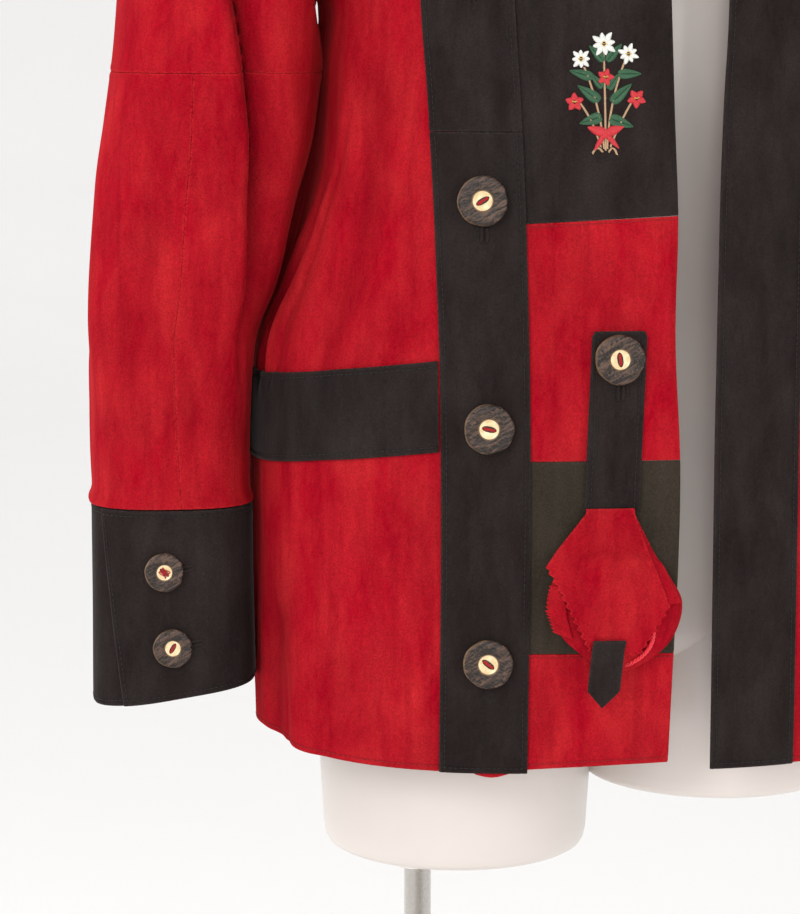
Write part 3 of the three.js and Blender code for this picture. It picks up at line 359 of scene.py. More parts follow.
# ---------------------------------------------------------------- meshes
PIECES = {}  # what later steps need to know of each shell
EDGE_FAR = 40  # mm from an edge at which its wear has long ended
NEAR_EDGE = np.array([0, 0.5, 1.1, 1.9, 2.8, 3.5, 4.2, 5.4])  # rows of points beside a shaped edge
# The rise of each ridge or groove along an edge, its distance from the edge and its reach: turned under and
# stitched, turned only, seamed or cut.
EDGE_RELIEF = {
    "stitched": ((-0.95, 0, 0.9), (-0.42, 3.5, 0.75)),
    "turned": ((-0.95, 0, 0.9),),
    "seam": ((-0.4, 0, 0.8), (0.24, 2.8, 1.8)),
    "cut": ((-0.3, 0, 0.5),),
}


def finish_object(obj):
    """Links a piece to the scene and states what it rides on."""
    bpy.context.scene.collection.objects.link(obj)
    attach(obj, "root")
    return obj


def mesh_object(name, points, faces, materials, flat_from=None, values=None, picks=None):
    """One mesh piece from millimetre points. Faces from flat_from on are shaded flat."""
    mesh = bpy.data.meshes.new(name)
    mesh.from_pydata((np.asarray(points) * MM).tolist(), [], [tuple(f) for f in faces])
    smooth = np.ones(len(mesh.polygons), bool)
    if flat_from is not None:
        smooth[flat_from:] = False
    mesh.polygons.foreach_set("use_smooth", smooth)
    for key, data in (values or {}).items():
        layer = mesh.attributes.new(key, "FLOAT", "POINT")
        layer.data.foreach_set("value", np.asarray(data, np.float32).ravel())
    for material in materials if isinstance(materials, (list, tuple)) else [materials]:
        mesh.materials.append(material)
    if picks is not None:
        mesh.polygons.foreach_set("material_index", np.asarray(picks, np.int32))
    mesh.validate()
    mesh.update()
    return finish_object(bpy.data.objects.new(name, mesh))


def grid_faces(rows, columns, closed):
    """Quads of the outer face, the inner face and the rim of a two-layer grid."""
    half = rows * columns
    j, i = np.meshgrid(np.arange(rows - 1), np.arange(columns if closed else columns - 1), indexing="ij")
    j, i = j.ravel(), i.ravel()
    n = (i + 1) % columns
    a, b = j * columns + i, j * columns + n
    c, d = (j + 1) * columns + n, (j + 1) * columns + i
    outer = np.stack([a, b, c, d], 1) + half
    inner = np.stack([a, d, c, b], 1)
    rims = []
    i = np.arange(columns if closed else columns - 1)
    n = (i + 1) % columns
    rims.append(np.stack([i, n, n + half, i + half], 1))
    top = (rows - 1) * columns
    rims.append(np.stack([top + n, top + i, top + i + half, top + n + half], 1))
    if not closed:
        j = np.arange(rows - 1) * columns
        rims.append(np.stack([j + columns, j, j + half, j + columns + half], 1))
        j = j + columns - 1
        rims.append(np.stack([j, j + columns, j + columns + half, j + half], 1))
    return outer, inner, np.concatenate(rims)


def spaced(length, pitch, low=True, high=True):
    """Shares 0..1 of a length, closer together where an edge is shaped."""
    start = NEAR_EDGE if low else np.array([0.0])
    end = length - NEAR_EDGE[::-1] if high else np.array([length])
    count = max(int((end[0] - start[-1]) / pitch), 2)
    middle = np.linspace(start[-1], end[0], count + 1)[1:-1]
    return np.concatenate([start, middle, end]) / length


def distances(points):
    """Distance of each grid point from the four edges, measured along the cloth."""
    across = np.linalg.norm(np.diff(points, axis=1), axis=2)
    up = np.linalg.norm(np.diff(points, axis=0), axis=2)
    left = np.concatenate([np.zeros((points.shape[0], 1)), np.cumsum(across, 1)], 1)
    low = np.concatenate([np.zeros((1, points.shape[1])), np.cumsum(up, 0)], 0)
    return {"left": left, "right": left[:, -1:] - left, "low": low, "high": low[-1:] - low}


def edge_relief(kind, d):
    """Rise of the cloth at a distance from an edge of one kind."""
    return sum(rise * np.exp(-((d - at) / reach) ** 2) for rise, at, reach in EDGE_RELIEF[kind])


def shell(name, node, sample, us, vs, inner, outer, material, edges, closed=False, extra=None):
    """A piece of cloth with two faces and a rim. sample gives points, directions and folds.

    edges says how each shaped edge is finished, and extra adds relief worked out from the distances.
    """
    u, v = np.meshgrid(us[:-1] if closed else us, vs)
    points, normals, crease = sample(u, v)
    away = distances(points)
    relief = sum(edge_relief(kind, away[side]) for side, kind in edges.items())
    if extra is not None:
        relief = relief + extra(away)
    lift = np.broadcast_to(outer + relief, u.shape)
    nearest = np.minimum.reduce([away[side] for side in edges])
    layers = [points + normals * inner, points + normals * lift[..., None]]
    outside, inside, rim = grid_faces(u.shape[0], u.shape[1], closed)
    stacked = np.concatenate([layer.reshape(-1, 3) for layer in layers])
    quads = np.concatenate([outside, inside, rim])
    middle = layers[1] - layers[0]
    a, b, c = (layers[1].reshape(-1, 3)[outside[:, k] - u.size] for k in (0, 1, 2))
    facing = np.sum(np.cross(b - a, c - a) * middle.reshape(-1, 3)[outside[:, 0] - u.size])
    if facing < 0:
        quads = quads[:, ::-1]
    # The fold heights go on as an attribute, which the suede turns into painted shade in creases and
    # painted highlight on ridges.
    values = {
        "edge": np.concatenate([np.minimum(nearest, EDGE_FAR).ravel()] * 2),
        "crease": np.concatenate([crease.ravel()] * 2),
    }
    flat = len(outside) + len(inside)
    made = mesh_object(name, stacked, quads, material, flat, values)
    if node:
        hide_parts(node)
    PIECES[name] = {"points": points, "normals": normals, "lift": lift, "away": away, "obj": made}


def line_on(name, side, d, sink=0.0, start=0.0, stop=0.0):
    """The line on a piece at distance d from one edge, on its outer face."""
    piece = PIECES[name]
    away, lift = piece["away"][side], piece["lift"][..., None]
    data = np.concatenate([piece["points"] + piece["normals"] * (lift + sink), piece["normals"]], 2)
    if side in ("low", "high"):
        away, data = away.T, np.swapaxes(data, 0, 1)
    if side in ("right", "high"):
        away, data = away[:, ::-1], data[:, ::-1]
    rows = [[np.interp(d, away[k], data[k, :, m]) for m in range(6)] for k in range(len(away))]
    line = np.array(rows)
    length = np.concatenate([[0], np.cumsum(np.linalg.norm(np.diff(line[:, :3], axis=0), axis=1))])
    keep = (length >= start) & (length <= length[-1] - stop)
    return line[keep, :3], line[keep, 3:]


def rods(centres, ups, radii, squash, sides):
    """Closed rods through rows of centres: (n, rings, 3) centres and up directions."""
    centres, ups = np.asarray(centres, float), np.asarray(ups, float)
    n, rings = centres.shape[:2]
    ahead = np.gradient(centres, axis=1)
    ahead /= np.maximum(np.linalg.norm(ahead, axis=2, keepdims=True), 1e-9)
    side = np.cross(ahead, ups)
    side /= np.maximum(np.linalg.norm(side, axis=2, keepdims=True), 1e-9)
    ups = np.cross(side, ahead)
    turn = np.arange(sides) * 2 * math.pi / sides + math.pi / sides
    radii = np.broadcast_to(radii, (n, rings))[..., None, None]
    ring = np.cos(turn)[None, None, :, None] * side[:, :, None] * radii
    ring = ring + np.sin(turn)[None, None, :, None] * ups[:, :, None] * radii * squash
    points = (centres[:, :, None] + ring).reshape(-1, 3)
    j, i = np.meshgrid(np.arange(rings - 1), np.arange(sides), indexing="ij")
    j, i = j.ravel(), i.ravel()
    a, b = j * sides + i, j * sides + (i + 1) % sides
    quad = np.stack([a, b, b + sides, a + sides], 1)
    start = np.arange(n)[:, None, None] * rings * sides
    faces = (quad[None] + start).reshape(-1, 4).tolist()
    for k in range(n):
        base = k * rings * sides
        faces.append([base + m for m in range(sides)][::-1])
        faces.append([base + (rings - 1) * sides + m for m in range(sides)])
    return points, faces


def resampled(line, normals):
    """Functions that give the point and the direction at a distance along a line, and its length."""
    length = np.concatenate([[0], np.cumsum(np.linalg.norm(np.diff(line, axis=0), axis=1))])
    at = lambda s: np.stack([np.interp(s, length, line[:, k]) for k in range(3)], -1)
    up = lambda s: np.stack([np.interp(s, length, normals[:, k]) for k in range(3)], -1)
    return at, up, length[-1]


def stitches(name, lines, material, period, length, radius=0.33, seed=3):
    """Separate stitches along lines, each one dipping into the cloth at its ends."""
    rng = np.random.default_rng(seed)
    centres, ups = [], []
    for line, normals in lines:
        at, up, total = resampled(line, normals)
        count = int(total / period)
        if count < 1:
            continue
        pitch = total / count
        for k in range(count):
            s0 = (k + 0.5) * pitch - length / 2 + rng.normal(0, 0.12)
            s = s0 + np.array([0, 0.16, 0.5, 0.84, 1]) * (length + rng.normal(0, 0.15))
            normal = up(s)
            dip = np.array([-0.7, 0.1, 0.3, 0.1, -0.7]) * radius
            centres.append(at(s) + normal * dip[:, None])
            ups.append(normal)
    points, faces = rods(centres, ups, radius * np.array([0.7, 1, 1, 1, 0.7]), 0.75, 5)
    mesh_object(name, points, faces, material)


# ---------------------------------------------------------------- shaders
def put(tree, kind, inputs=None, **settings):
    """A node with its settings, its inputs set or linked."""
    node = tree.nodes.new(kind)
    for key, value in settings.items():
        setattr(node, key, value)
    for key, value in (inputs or {}).items():
        socket = node.inputs[key]
        if isinstance(value, bpy.types.NodeSocket):
            tree.links.new(value, socket)
        else:
            socket.default_value = value
    return node


def new_group(name, inputs, outputs):
    """A node group with named sockets. inputs are (name, kind, default)."""
    tree = bpy.data.node_groups.new(name, "ShaderNodeTree")
    for label, kind, default in inputs:
        socket = tree.interface.new_socket(name=label, in_out="INPUT", socket_type=kind)
        socket.default_value = default
    for label, kind in outputs:
        tree.interface.new_socket(name=label, in_out="OUTPUT", socket_type=kind)
    return tree, tree.nodes.new("NodeGroupInput"), tree.nodes.new("NodeGroupOutput")


COLOR, FLOAT = "NodeSocketColor", "NodeSocketFloat"


def mix(tree, factor, a, b, blend="MIX"):
    """Colour between a and b."""
    node = put(tree, "ShaderNodeMix", data_type="RGBA", blend_type=blend)
    for index, value in ((0, factor), (6, a), (7, b)):
        if isinstance(value, bpy.types.NodeSocket):
            tree.links.new(value, node.inputs[index])
        else:
            node.inputs[index].default_value = value
    return node.outputs[2]


def maths(tree, operation, a, b=0.0, clamp=False):
    """One sum on two values."""
    node = put(tree, "ShaderNodeMath", {0: a, 1: b}, operation=operation)
    node.use_clamp = clamp
    return node.outputs[0]


def ramp(tree, value, low, high, to_low=0.0, to_high=1.0):
    """A value stretched from one range to another."""
    limits = {"Value": value, "From Min": low, "From Max": high, "To Min": to_low, "To Max": to_high}
    return put(tree, "ShaderNodeMapRange", limits).outputs[0]


def noise(tree, where, scale, detail=2.0, rough=0.5, warp=0.0):
    """Soft noise at a scale."""
    settings = {"Vector": where, "Scale": scale, "Detail": detail, "Roughness": rough, "Distortion": warp}
    return put(tree, "ShaderNodeTexNoise", settings).outputs["Fac"]


def suede_group():
    """Napped suede: blotches, brush marks and short nap; ridges paler, partly from rubbed wear and partly
    as a painted highlight; painted shade in the creases.
    """
    tree, given, out = new_group(
        "Suede nap",
        [("Base", COLOR, (0.4, 0.02, 0.02, 1)), ("Lit", COLOR, (0.6, 0.1, 0.06, 1)),
         ("Deep", COLOR, (0.2, 0.01, 0.01, 1)), ("Blotches", FLOAT, 0.5), ("Grain", FLOAT, 0.5)],
        [("Color", COLOR), ("Roughness", FLOAT), ("Height", FLOAT)],
    )
    where = put(tree, "ShaderNodeTexCoord").outputs["Object"]
    slant = {"Vector": where, "Rotation": (0, 0.3, 0), "Scale": (1, 1, 0.4)}
    stroke = put(tree, "ShaderNodeMapping", slant).outputs["Vector"]
    patch = ramp(tree, noise(tree, stroke, 46, 3, 0.5, 0.35), 0.34, 0.72)
    broad = ramp(tree, noise(tree, where, 17, 2, 0.5, 0.3), 0.35, 0.68)
    brush = ramp(tree, noise(tree, stroke, 230, 3, 0.6, 0.8), 0.3, 0.7)
    nap = noise(tree, where, 900, 2, 0.6)
    fall = {"Vector": where, "Rotation": (0, 0.06, 0), "Scale": (1, 1, 0.1)}
    hanging = put(tree, "ShaderNodeMapping", fall).outputs["Vector"]
    streak = ramp(tree, noise(tree, hanging, 95, 3, 0.6, 0.4), 0.45, 0.68)
    dust = noise(tree, where, 3100, 1, 0.5)
    edge = put(tree, "ShaderNodeAttribute", attribute_name="edge").outputs["Fac"]
    crease = put(tree, "ShaderNodeAttribute", attribute_name="crease").outputs["Fac"]
    blotch = maths(tree, "MULTIPLY", patch, given.outputs["Blotches"])
    tone = mix(tree, blotch, given.outputs["Base"], given.outputs["Lit"])
    shade = maths(tree, "MULTIPLY", broad, maths(tree, "MULTIPLY", given.outputs["Blotches"], 0.62))
    tone = mix(tree, shade, tone, given.outputs["Deep"])
    mark = maths(tree, "MULTIPLY", brush, maths(tree, "MULTIPLY", given.outputs["Blotches"], 0.34))
    tone = mix(tree, mark, tone, given.outputs["Lit"])
    mark = maths(tree, "MULTIPLY", streak, maths(tree, "MULTIPLY", given.outputs["Blotches"], 0.5))
    tone = mix(tree, mark, tone, given.outputs["Deep"])
    # Painted shade: the colour goes towards Deep in the creases. On the ridges it goes towards Lit, partly
    # rubbed wear and partly a painted highlight.
    tone = mix(tree, ramp(tree, crease, -0.6, -5.0, 0.0, 0.45), tone, given.outputs["Deep"])
    tone = mix(tree, ramp(tree, crease, 1.0, 5.0, 0.0, 0.22), tone, given.outputs["Lit"])
    rub = maths(tree, "MULTIPLY", ramp(tree, edge, 1.6, 0.2, 0.0, 0.55), ramp(tree, nap, 0.35, 0.6))
    tone = mix(tree, rub, tone, given.outputs["Lit"])
    grain = ramp(tree, nap, 0.28, 0.72, 0.64, 1.34)
    speck = ramp(tree, dust, 0.3, 0.7, 0.9, 1.1)
    grain = mix(tree, given.outputs["Grain"], (1, 1, 1, 1), maths(tree, "MULTIPLY", grain, speck))
    tree.links.new(mix(tree, 1.0, tone, grain, "MULTIPLY"), out.inputs["Color"])
    tree.links.new(ramp(tree, nap, 0.2, 0.8, 0.86, 1.0), out.inputs["Roughness"])
    height = maths(tree, "ADD", maths(tree, "MULTIPLY", nap, 0.55), maths(tree, "MULTIPLY", dust, 0.2))
    height = maths(tree, "ADD", height, maths(tree, "MULTIPLY", brush, 0.5))
    tree.links.new(maths(tree, "ADD", height, maths(tree, "MULTIPLY", patch, 0.4)), out.inputs["Height"])
    return tree


def tint_group(name, scale, low, high, smooth, rough):
    """A base colour varied by one noise, with roughness and height of its own."""
    tree, given, out = new_group(
        name,
        [("Base", COLOR, (0.5, 0.5, 0.5, 1)), ("Second", COLOR, (0.4, 0.4, 0.4, 1)),
         ("Amount", FLOAT, 1.0)],
        [("Color", COLOR), ("Roughness", FLOAT), ("Height", FLOAT)],
    )
    where = put(tree, "ShaderNodeTexCoord").outputs["Object"]
    grain = noise(tree, where, scale, 3, 0.6, 0.4)
    fine = noise(tree, where, scale * 6, 2, 0.5)
    share = maths(tree, "MULTIPLY", ramp(tree, grain, low, high), given.outputs["Amount"])
    tree.links.new(mix(tree, share, given.outputs["Base"], given.outputs["Second"]), out.inputs["Color"])
    tree.links.new(ramp(tree, fine, 0.3, 0.7, smooth, rough), out.inputs["Roughness"])
    tree.links.new(maths(tree, "ADD", grain, maths(tree, "MULTIPLY", fine, 0.3)), out.inputs["Height"])
    return tree


def horn_group():
    """Carved horn: dark ridges in streaks with a pale rim, which is polish at the eye's edge and a painted
    highlight on the outer edge's lit side and on the carved crests.
    """
    tree, given, out = new_group(
        "Carved horn",
        [("Dark", COLOR, (0.03, 0.02, 0.015, 1)), ("Streak", COLOR, (0.12, 0.08, 0.06, 1)),
         ("Rim", COLOR, (0.4, 0.27, 0.15, 1))],
        [("Color", COLOR), ("Roughness", FLOAT), ("Height", FLOAT)],
    )
    where = put(tree, "ShaderNodeTexCoord").outputs["Object"]
    tilted = put(tree, "ShaderNodeMapping", {"Vector": where, "Rotation": (0, 0.5, 0)}).outputs["Vector"]
    stretched = put(tree, "ShaderNodeMapping", {"Vector": tilted, "Scale": (0.16, 1, 1)})
    streak = noise(tree, stretched.outputs["Vector"], 480, 3, 0.6, 1.0)
    cloud = noise(tree, where, 130, 2, 0.5, 0.6)
    rim = put(tree, "ShaderNodeAttribute", attribute_name="rim").outputs["Fac"]
    tone = mix(tree, ramp(tree, streak, 0.46, 0.62), given.outputs["Dark"], given.outputs["Streak"])
    tone = mix(tree, ramp(tree, cloud, 0.4, 0.75, 0.0, 0.5), tone, given.outputs["Dark"])
    # Polish at the eye, painted highlight on the lit side of the edge and on the crests.
    polish_and_highlight = maths(tree, "MULTIPLY", rim, ramp(tree, cloud, 0.3, 0.6, 0.35, 1.0))
    tone = mix(tree, polish_and_highlight, tone, given.outputs["Rim"])
    tree.links.new(tone, out.inputs["Color"])
    tree.links.new(ramp(tree, streak, 0.3, 0.7, 0.26, 0.5), out.inputs["Roughness"])
    tree.links.new(streak, out.inputs["Height"])
    return tree


def material(name, group, colours, bump, distance, constants):
    """A Principled surface fed by a group; constants are set on the shader itself."""
    made = bpy.data.materials.new(name)
    made.use_nodes = True
    tree = made.node_tree
    tree.nodes.clear()
    effect = put(tree, "ShaderNodeGroup", node_tree=group)
    for key, value in colours.items():
        effect.inputs[key].default_value = (*value, 1) if isinstance(value, tuple) else value
    shader = tree.nodes.new("ShaderNodeBsdfPrincipled")
    for key, value in constants.items():
        shader.inputs[key].default_value = (*value, 1) if isinstance(value, tuple) else value
    tree.links.new(effect.outputs["Color"], shader.inputs["Base Color"])
    tree.links.new(effect.outputs["Roughness"], shader.inputs["Roughness"])
    relief = {"Strength": bump, "Distance": distance, "Height": effect.outputs["Height"]}
    bumped = put(tree, "ShaderNodeBump", relief)
    tree.links.new(bumped.outputs["Normal"], shader.inputs["Normal"])
    out = tree.nodes.new("ShaderNodeOutputMaterial")
    tree.links.new(shader.outputs["BSDF"], out.inputs["Surface"])
    return made


MATERIALS = {}


def paint(name):
    """A material by name; all are made at the first call."""
    if not MATERIALS:
        make_materials()
    return MATERIALS[name]


def make_materials():
    """Fills MATERIALS with every finish of the jacket, the form and the studio."""
    tints = bpy.context.scene.jacket_colours
    suede = suede_group()
    nap = {"Sheen Weight": 0.24, "Sheen Roughness": 0.27, "Specular IOR Level": 0.03}
    for name, lit, deep, sheen, blotches in (
        ("red", tints.red_lit, tints.red_deep, (1.0, 0.07, 0.07), 0.66),
        ("black", tints.black_lit, tints.black_deep, (0.30, 0.27, 0.27), 0.42),
        ("green", tints.green_lit, tints.green_deep, (0.34, 0.34, 0.27), 0.5),
    ):
        base = tuple(getattr(tints, name))
        colours = {"Base": base, "Lit": tuple(lit), "Deep": tuple(deep), "Blotches": blotches, "Grain": 0.7}
        shine = dict(nap, **{"Sheen Tint": sheen})
        MATERIALS[name] = material(f"{name} suede", suede, colours, 0.5, 0.0007, shine)
    ply = tint_group("Thread ply", 2400, 0.35, 0.65, 0.5, 0.75)
    dull = {"Specular IOR Level": 0.25}
    silk = tint_group("Silk ply", 1500, 0.3, 0.7, 0.28, 0.45)
    downy = {"Sheen Weight": 0.1}
    for name, base, second in (
        ("black thread", (0.021, 0.018, 0.0175), (0.010, 0.009, 0.009)),
        ("red thread", (0.30, 0.01, 0.014), (0.17, 0.006, 0.01)),
        ("button thread", (0.42, 0.012, 0.014), (0.22, 0.008, 0.01)),
    ):
        MATERIALS[name] = material(name, ply, {"Base": base, "Second": second}, 0.4, 0.0002, dull)
    for name, base, second in (
        ("white silk", (0.80, 0.80, 0.76), (0.60, 0.61, 0.58)),
        ("green silk", (0.018, 0.10, 0.038), (0.008, 0.055, 0.02)),
        ("red silk", (0.62, 0.02, 0.03), (0.42, 0.012, 0.02)),
        ("tan silk", (0.50, 0.33, 0.19), (0.36, 0.22, 0.12)),
        ("gold silk", (0.72, 0.47, 0.10), (0.55, 0.33, 0.06)),
        ("cord red", (0.80, 0.008, 0.026), (0.55, 0.005, 0.016)),
    ):
        MATERIALS[name] = material(name, silk, {"Base": base, "Second": second}, 0.3, 0.0002, downy)
    # Rim is the pale polish at the eye and the painted highlight on the buttons' lit side and crests.
    horn = {"Dark": (0.008, 0.0045, 0.0034), "Streak": (0.105, 0.060, 0.042), "Rim": (0.27, 0.165, 0.085)}
    waxed = {"Specular IOR Level": 0.34}
    MATERIALS["horn"] = material("carved horn", horn_group(), horn, 0.8, 0.0008, waxed)
    core = tint_group("Horn core", 260, 0.35, 0.7, 0.25, 0.4)
    cream = {"Base": (0.80, 0.66, 0.40), "Second": (0.62, 0.43, 0.20)}
    MATERIALS["core"] = material("pale horn core", core, cream, 0.15, 0.0003, {"Coat Weight": 0.2})
    skin = tint_group("Form shell", 9, 0.35, 0.7, 0.34, 0.42)
    shell_tones = {"Base": tuple(tints.form), "Second": tuple(c * 0.94 for c in tints.form)}
    MATERIALS["form"] = material("form shell", skin, shell_tones, 0.05, 0.0005, {"Coat Weight": 0.15})
    brushed = tint_group("Brushed steel", 420, 0.3, 0.7, 0.24, 0.36)
    tones = {"Base": (0.80, 0.77, 0.73), "Second": (0.72, 0.69, 0.65)}
    MATERIALS["steel"] = material("brushed steel", brushed, tones, 0.08, 0.0002, {"Metallic": 1.0})
    paper = tint_group("Studio paper", 5, 0.3, 0.7, 0.85, 0.95)
    whites = {"Base": (0.90, 0.90, 0.90), "Second": (0.893, 0.893, 0.893)}
    MATERIALS["paper"] = material("studio paper", paper, whites, 0.02, 0.001, {})


# ---------------------------------------------------------------- the body
def body_crease(degrees, h):
    """How far the folds lift the body, for the shade in them."""
    degrees = (np.asarray(degrees, float) + 180) % 360 - 180
    return fold_rise(FOLDS + CREASES, degrees, smooth_body(degrees, h)[..., 2])


def body_sample(degrees, h):
    """Points, directions and folds of the body."""
    points, normals = body(degrees, h)
    return points, normals, body_crease(degrees, h)


SIDE_GAP = 0.05  # degrees from a cut edge to the side seam


def front_sample(side):
    """u below 0 lies under the band, 0 is its edge and 1 the side."""
    def sample(u, v):
        h = v * TOP_H
        edge = band_middle(h) + BAND_W / 2
        inner = angle_at(edge, h)
        shown = inner + (side_angle(h) - SIDE_GAP - inner) * np.maximum(u, 0)
        hidden = angle_at(edge + np.minimum(u, 0) * UNDER_BAND, h)
        return body_sample(side * np.where(u < 0, hidden, shown), h)
    return sample


def make_front(side, name, pitch):
    """One front, from under its band to the side seam."""
    across = np.concatenate([[-1, -0.6, -0.25], spaced(FRONT_ROUND, pitch, False, True)])
    sample = front_sample(side)
    edges = {"right": "seam", "low": "stitched", "high": "seam"}
    up = spaced(BODY_DOWN, pitch * 1.1)
    shell(f"{name}_cloth", name, sample, across, up, 0, CLOTH, paint("red"), edges)


def back_top(degrees):
    """Level at which the back ends: the shoulder seam, or the neck opening's edge."""
    x = np.abs(smooth_body(degrees, 1.9)[..., 0])
    depth = np.abs(smooth_body(degrees, 1.0001)[..., 1])
    dip = BACK_NECK * np.sqrt(np.maximum(1 - (x / NECK_X) ** 2, 0))
    cosine = np.minimum(dip / np.maximum(depth, 1), 1)
    return np.where(x >= NECK_X, TOP_H, 1 + np.degrees(np.arccos(cosine)) / 90 - 0.002)


def back_sample(u, v):
    """The back, once round behind from side seam to side seam."""
    h = v * TOP_H
    edge = 180 - side_angle(h) + SIDE_GAP
    angle = edge + (360 - 2 * edge) * u
    turned = np.where(angle > 180, angle - 360, angle)
    top = back_top(turned)
    cut = np.where(h > 1, 1 + (h - 1) * ((top - 1) / (TOP_H - 1)), h)
    return body_sample(turned, cut)


# ---------------------------------------------------------------- bands
def band_sample(side, low, high):
    """The band eases off the cloth above the chest and comes down on it at the shoulder seam."""
    def sample(u, v):
        h = low + (high - low) * v
        x = side * (band_middle(h) + BAND_W * (u - 0.5))
        points, normals, crease = body_sample(angle_at(x, h), h)
        ease = BAND_EASE * step(h, 0.985, 1.0) - BAND_SEAT * step(h, TOP_H - 0.02, TOP_H)
        return points + normals * ease[..., None], normals, crease
    return sample


NECK_LAP = 1  # how far the neck band's ends lie outside the neck points
NECK_END_H, NECK_BAND_H = 1.9, 0.11  # level of those ends, and the band's width in levels


def neck_sample(u, v):
    """The band along the back neck, laid on the back's upper edge."""
    reach = 180 - float(angle_at(NECK_X + NECK_LAP, NECK_END_H))
    angle = reach + (360 - 2 * reach) * u
    turned = np.where(angle > 180, angle - 360, angle)
    return body_sample(turned, back_top(turned) - NECK_BAND_H * (1 - v))


POCKET_GAP = 1.1  # from the front band to the pocket band


def pocket_sample(u, v):
    """The band over the pocket's mouth, which falls towards the side."""
    fall = POCKET_DROP * np.sin(np.radians(90 * u))
    h = height_level(POCKET_Z + POCKET_W * v - fall)
    inner = angle_at(band_middle(h) + BAND_W / 2 + POCKET_GAP, h)
    return body_sample(-(inner + (side_angle(h) - SIDE_GAP - inner) * u), h)


def block_sample(index):
    """One block of the plastron, from under the band to the free edge."""
    _, low, low_edge, _ = BLOCKS[index]
    above = BLOCKS[index + 1] if index + 1 < len(BLOCKS) else None

    def sample(u, v):
        bottom = height_level(low + (low_edge - low) * u + (SEAM / 2 if index else 0))
        if above:
            top = height_level(above[1] + (above[2] - above[1]) * u - SEAM / 2)
        else:
            top = np.full(u.shape, PLASTRON_TOP_H)
        h = bottom + (top - bottom) * v
        free = along(FREE_EDGE, REACH, level_of(h)[0])
        x = -PLASTRON_IN + (free + PLASTRON_IN) * u
        points, normals, crease = body_sample(angle_at(x, h), h)
        if index == 0:
            dip = HEM_DIP * np.exp(-((x + 79) / 13) ** 2) * (1 - np.clip(v * 3, 0, 1)) ** 2
            points = points - np.stack([0 * dip, 0 * dip, dip], -1)
        return points, normals, crease
    return sample


STRAP_TOP_X, STRAP_SWING = -2.5, 4.5  # the strap's middle at its top, and how far its end swings out
STRAP_CORNER, STRAP_CORNER_FROM = 0.09, 0.965  # the cut corners' share of the width, and where they start


def strap_middle(z):
    """Where the leaning strap's middle is at a height."""
    return STRAP_TOP_X - STRAP_SWING * (STRAP_TOP - z) / (STRAP_TOP - STRAP_END)


def strap_sample(u, v):
    """The strap, with its upper corners cut off a little."""
    z = STRAP_END + (STRAP_TOP - STRAP_END) * v
    corner = 1 - STRAP_CORNER * step(v, STRAP_CORNER_FROM, 1.0)
    h = height_level(z)
    return body_sample(angle_at(strap_middle(z) + STRAP_W * (u - 0.5) * corner, h), h)


# ---------------------------------------------------------------- the pouch
def flap_lift(x, z):
    """How far the flap's inner face stands off the plastron over the full bag."""
    width = along(BAG, BAG_WIDTH, z) * 1.05 + 1
    side = np.minimum(np.abs(x - POUCH_X - along(BAG, BAG_SHIFT, z)) / width, 1)
    crown = 0.5 + 0.5 * np.sqrt(1 - side * side * 0.86)
    over = np.where(z > BAG[-1][0], 0, along(BAG, BAG_THICK, z) * crown)
    return BAG_LIFT + np.maximum(over, 2) + FLAP_CLEAR


PINK_PITCH, PINK_DEEP, PINK_LOW = 4.8, 2.6, 2.0  # teeth of the pinking shears, sides and lower edge


def saw(x, period):
    """Triangle wave from 0 to 1."""
    return 1 - np.abs((x / period) % 1 * 2 - 1)


def flap_edge(column, z):
    """Distance of one side of the flap from the pouch's middle."""
    return np.interp(z, [row[0] for row in FLAP], [row[column] for row in FLAP])


def flap_sample(u, v):
    """The flap's lower edges are cut with pinking shears, up to its widest corners."""
    z = FLAP[0][0] + (FLAP_TOP - FLAP[0][0]) * v
    pinked_left, pinked_right = 1 - step(z, 870, 873), 1 - step(z, 846, 849)
    left = POUCH_X - flap_edge(1, z)
    left = left + PINK_DEEP * saw(z, PINK_PITCH) * pinked_left * (1 - step(u, 0, 0.12))
    right = POUCH_X + flap_edge(2, z)
    right = right - PINK_DEEP * saw(z + 1.3, PINK_PITCH) * pinked_right * step(u, 0.88, 1)
    x = left + (right - left) * u
    z = z + PINK_LOW * saw(x, PINK_PITCH) * (1 - np.clip(v * 14, 0, 1))
    h = height_level(z)
    points, normals, crease = body_sample(angle_at(x, h), h)
    wave = 0.9 * np.sin((x + 20) * 0.09 + z * 0.05) * step(z, 905, 880)
    curl = np.exp(-(u / 0.07) ** 2) * pinked_left + np.exp(-((1 - u) / 0.07) ** 2) * pinked_right
    lift = flap_lift(x, z) + np.maximum(wave, -0.4) + 1.4 * curl
    # The wave also paints shade in its troughs and highlight on its crests.
    return points + normals * lift[..., None], normals, crease + wave * 2


BAG_ROWS, BAG_SIDES = 44, 150
BROAD_PLEATS, FINE_PLEATS = 17, 29


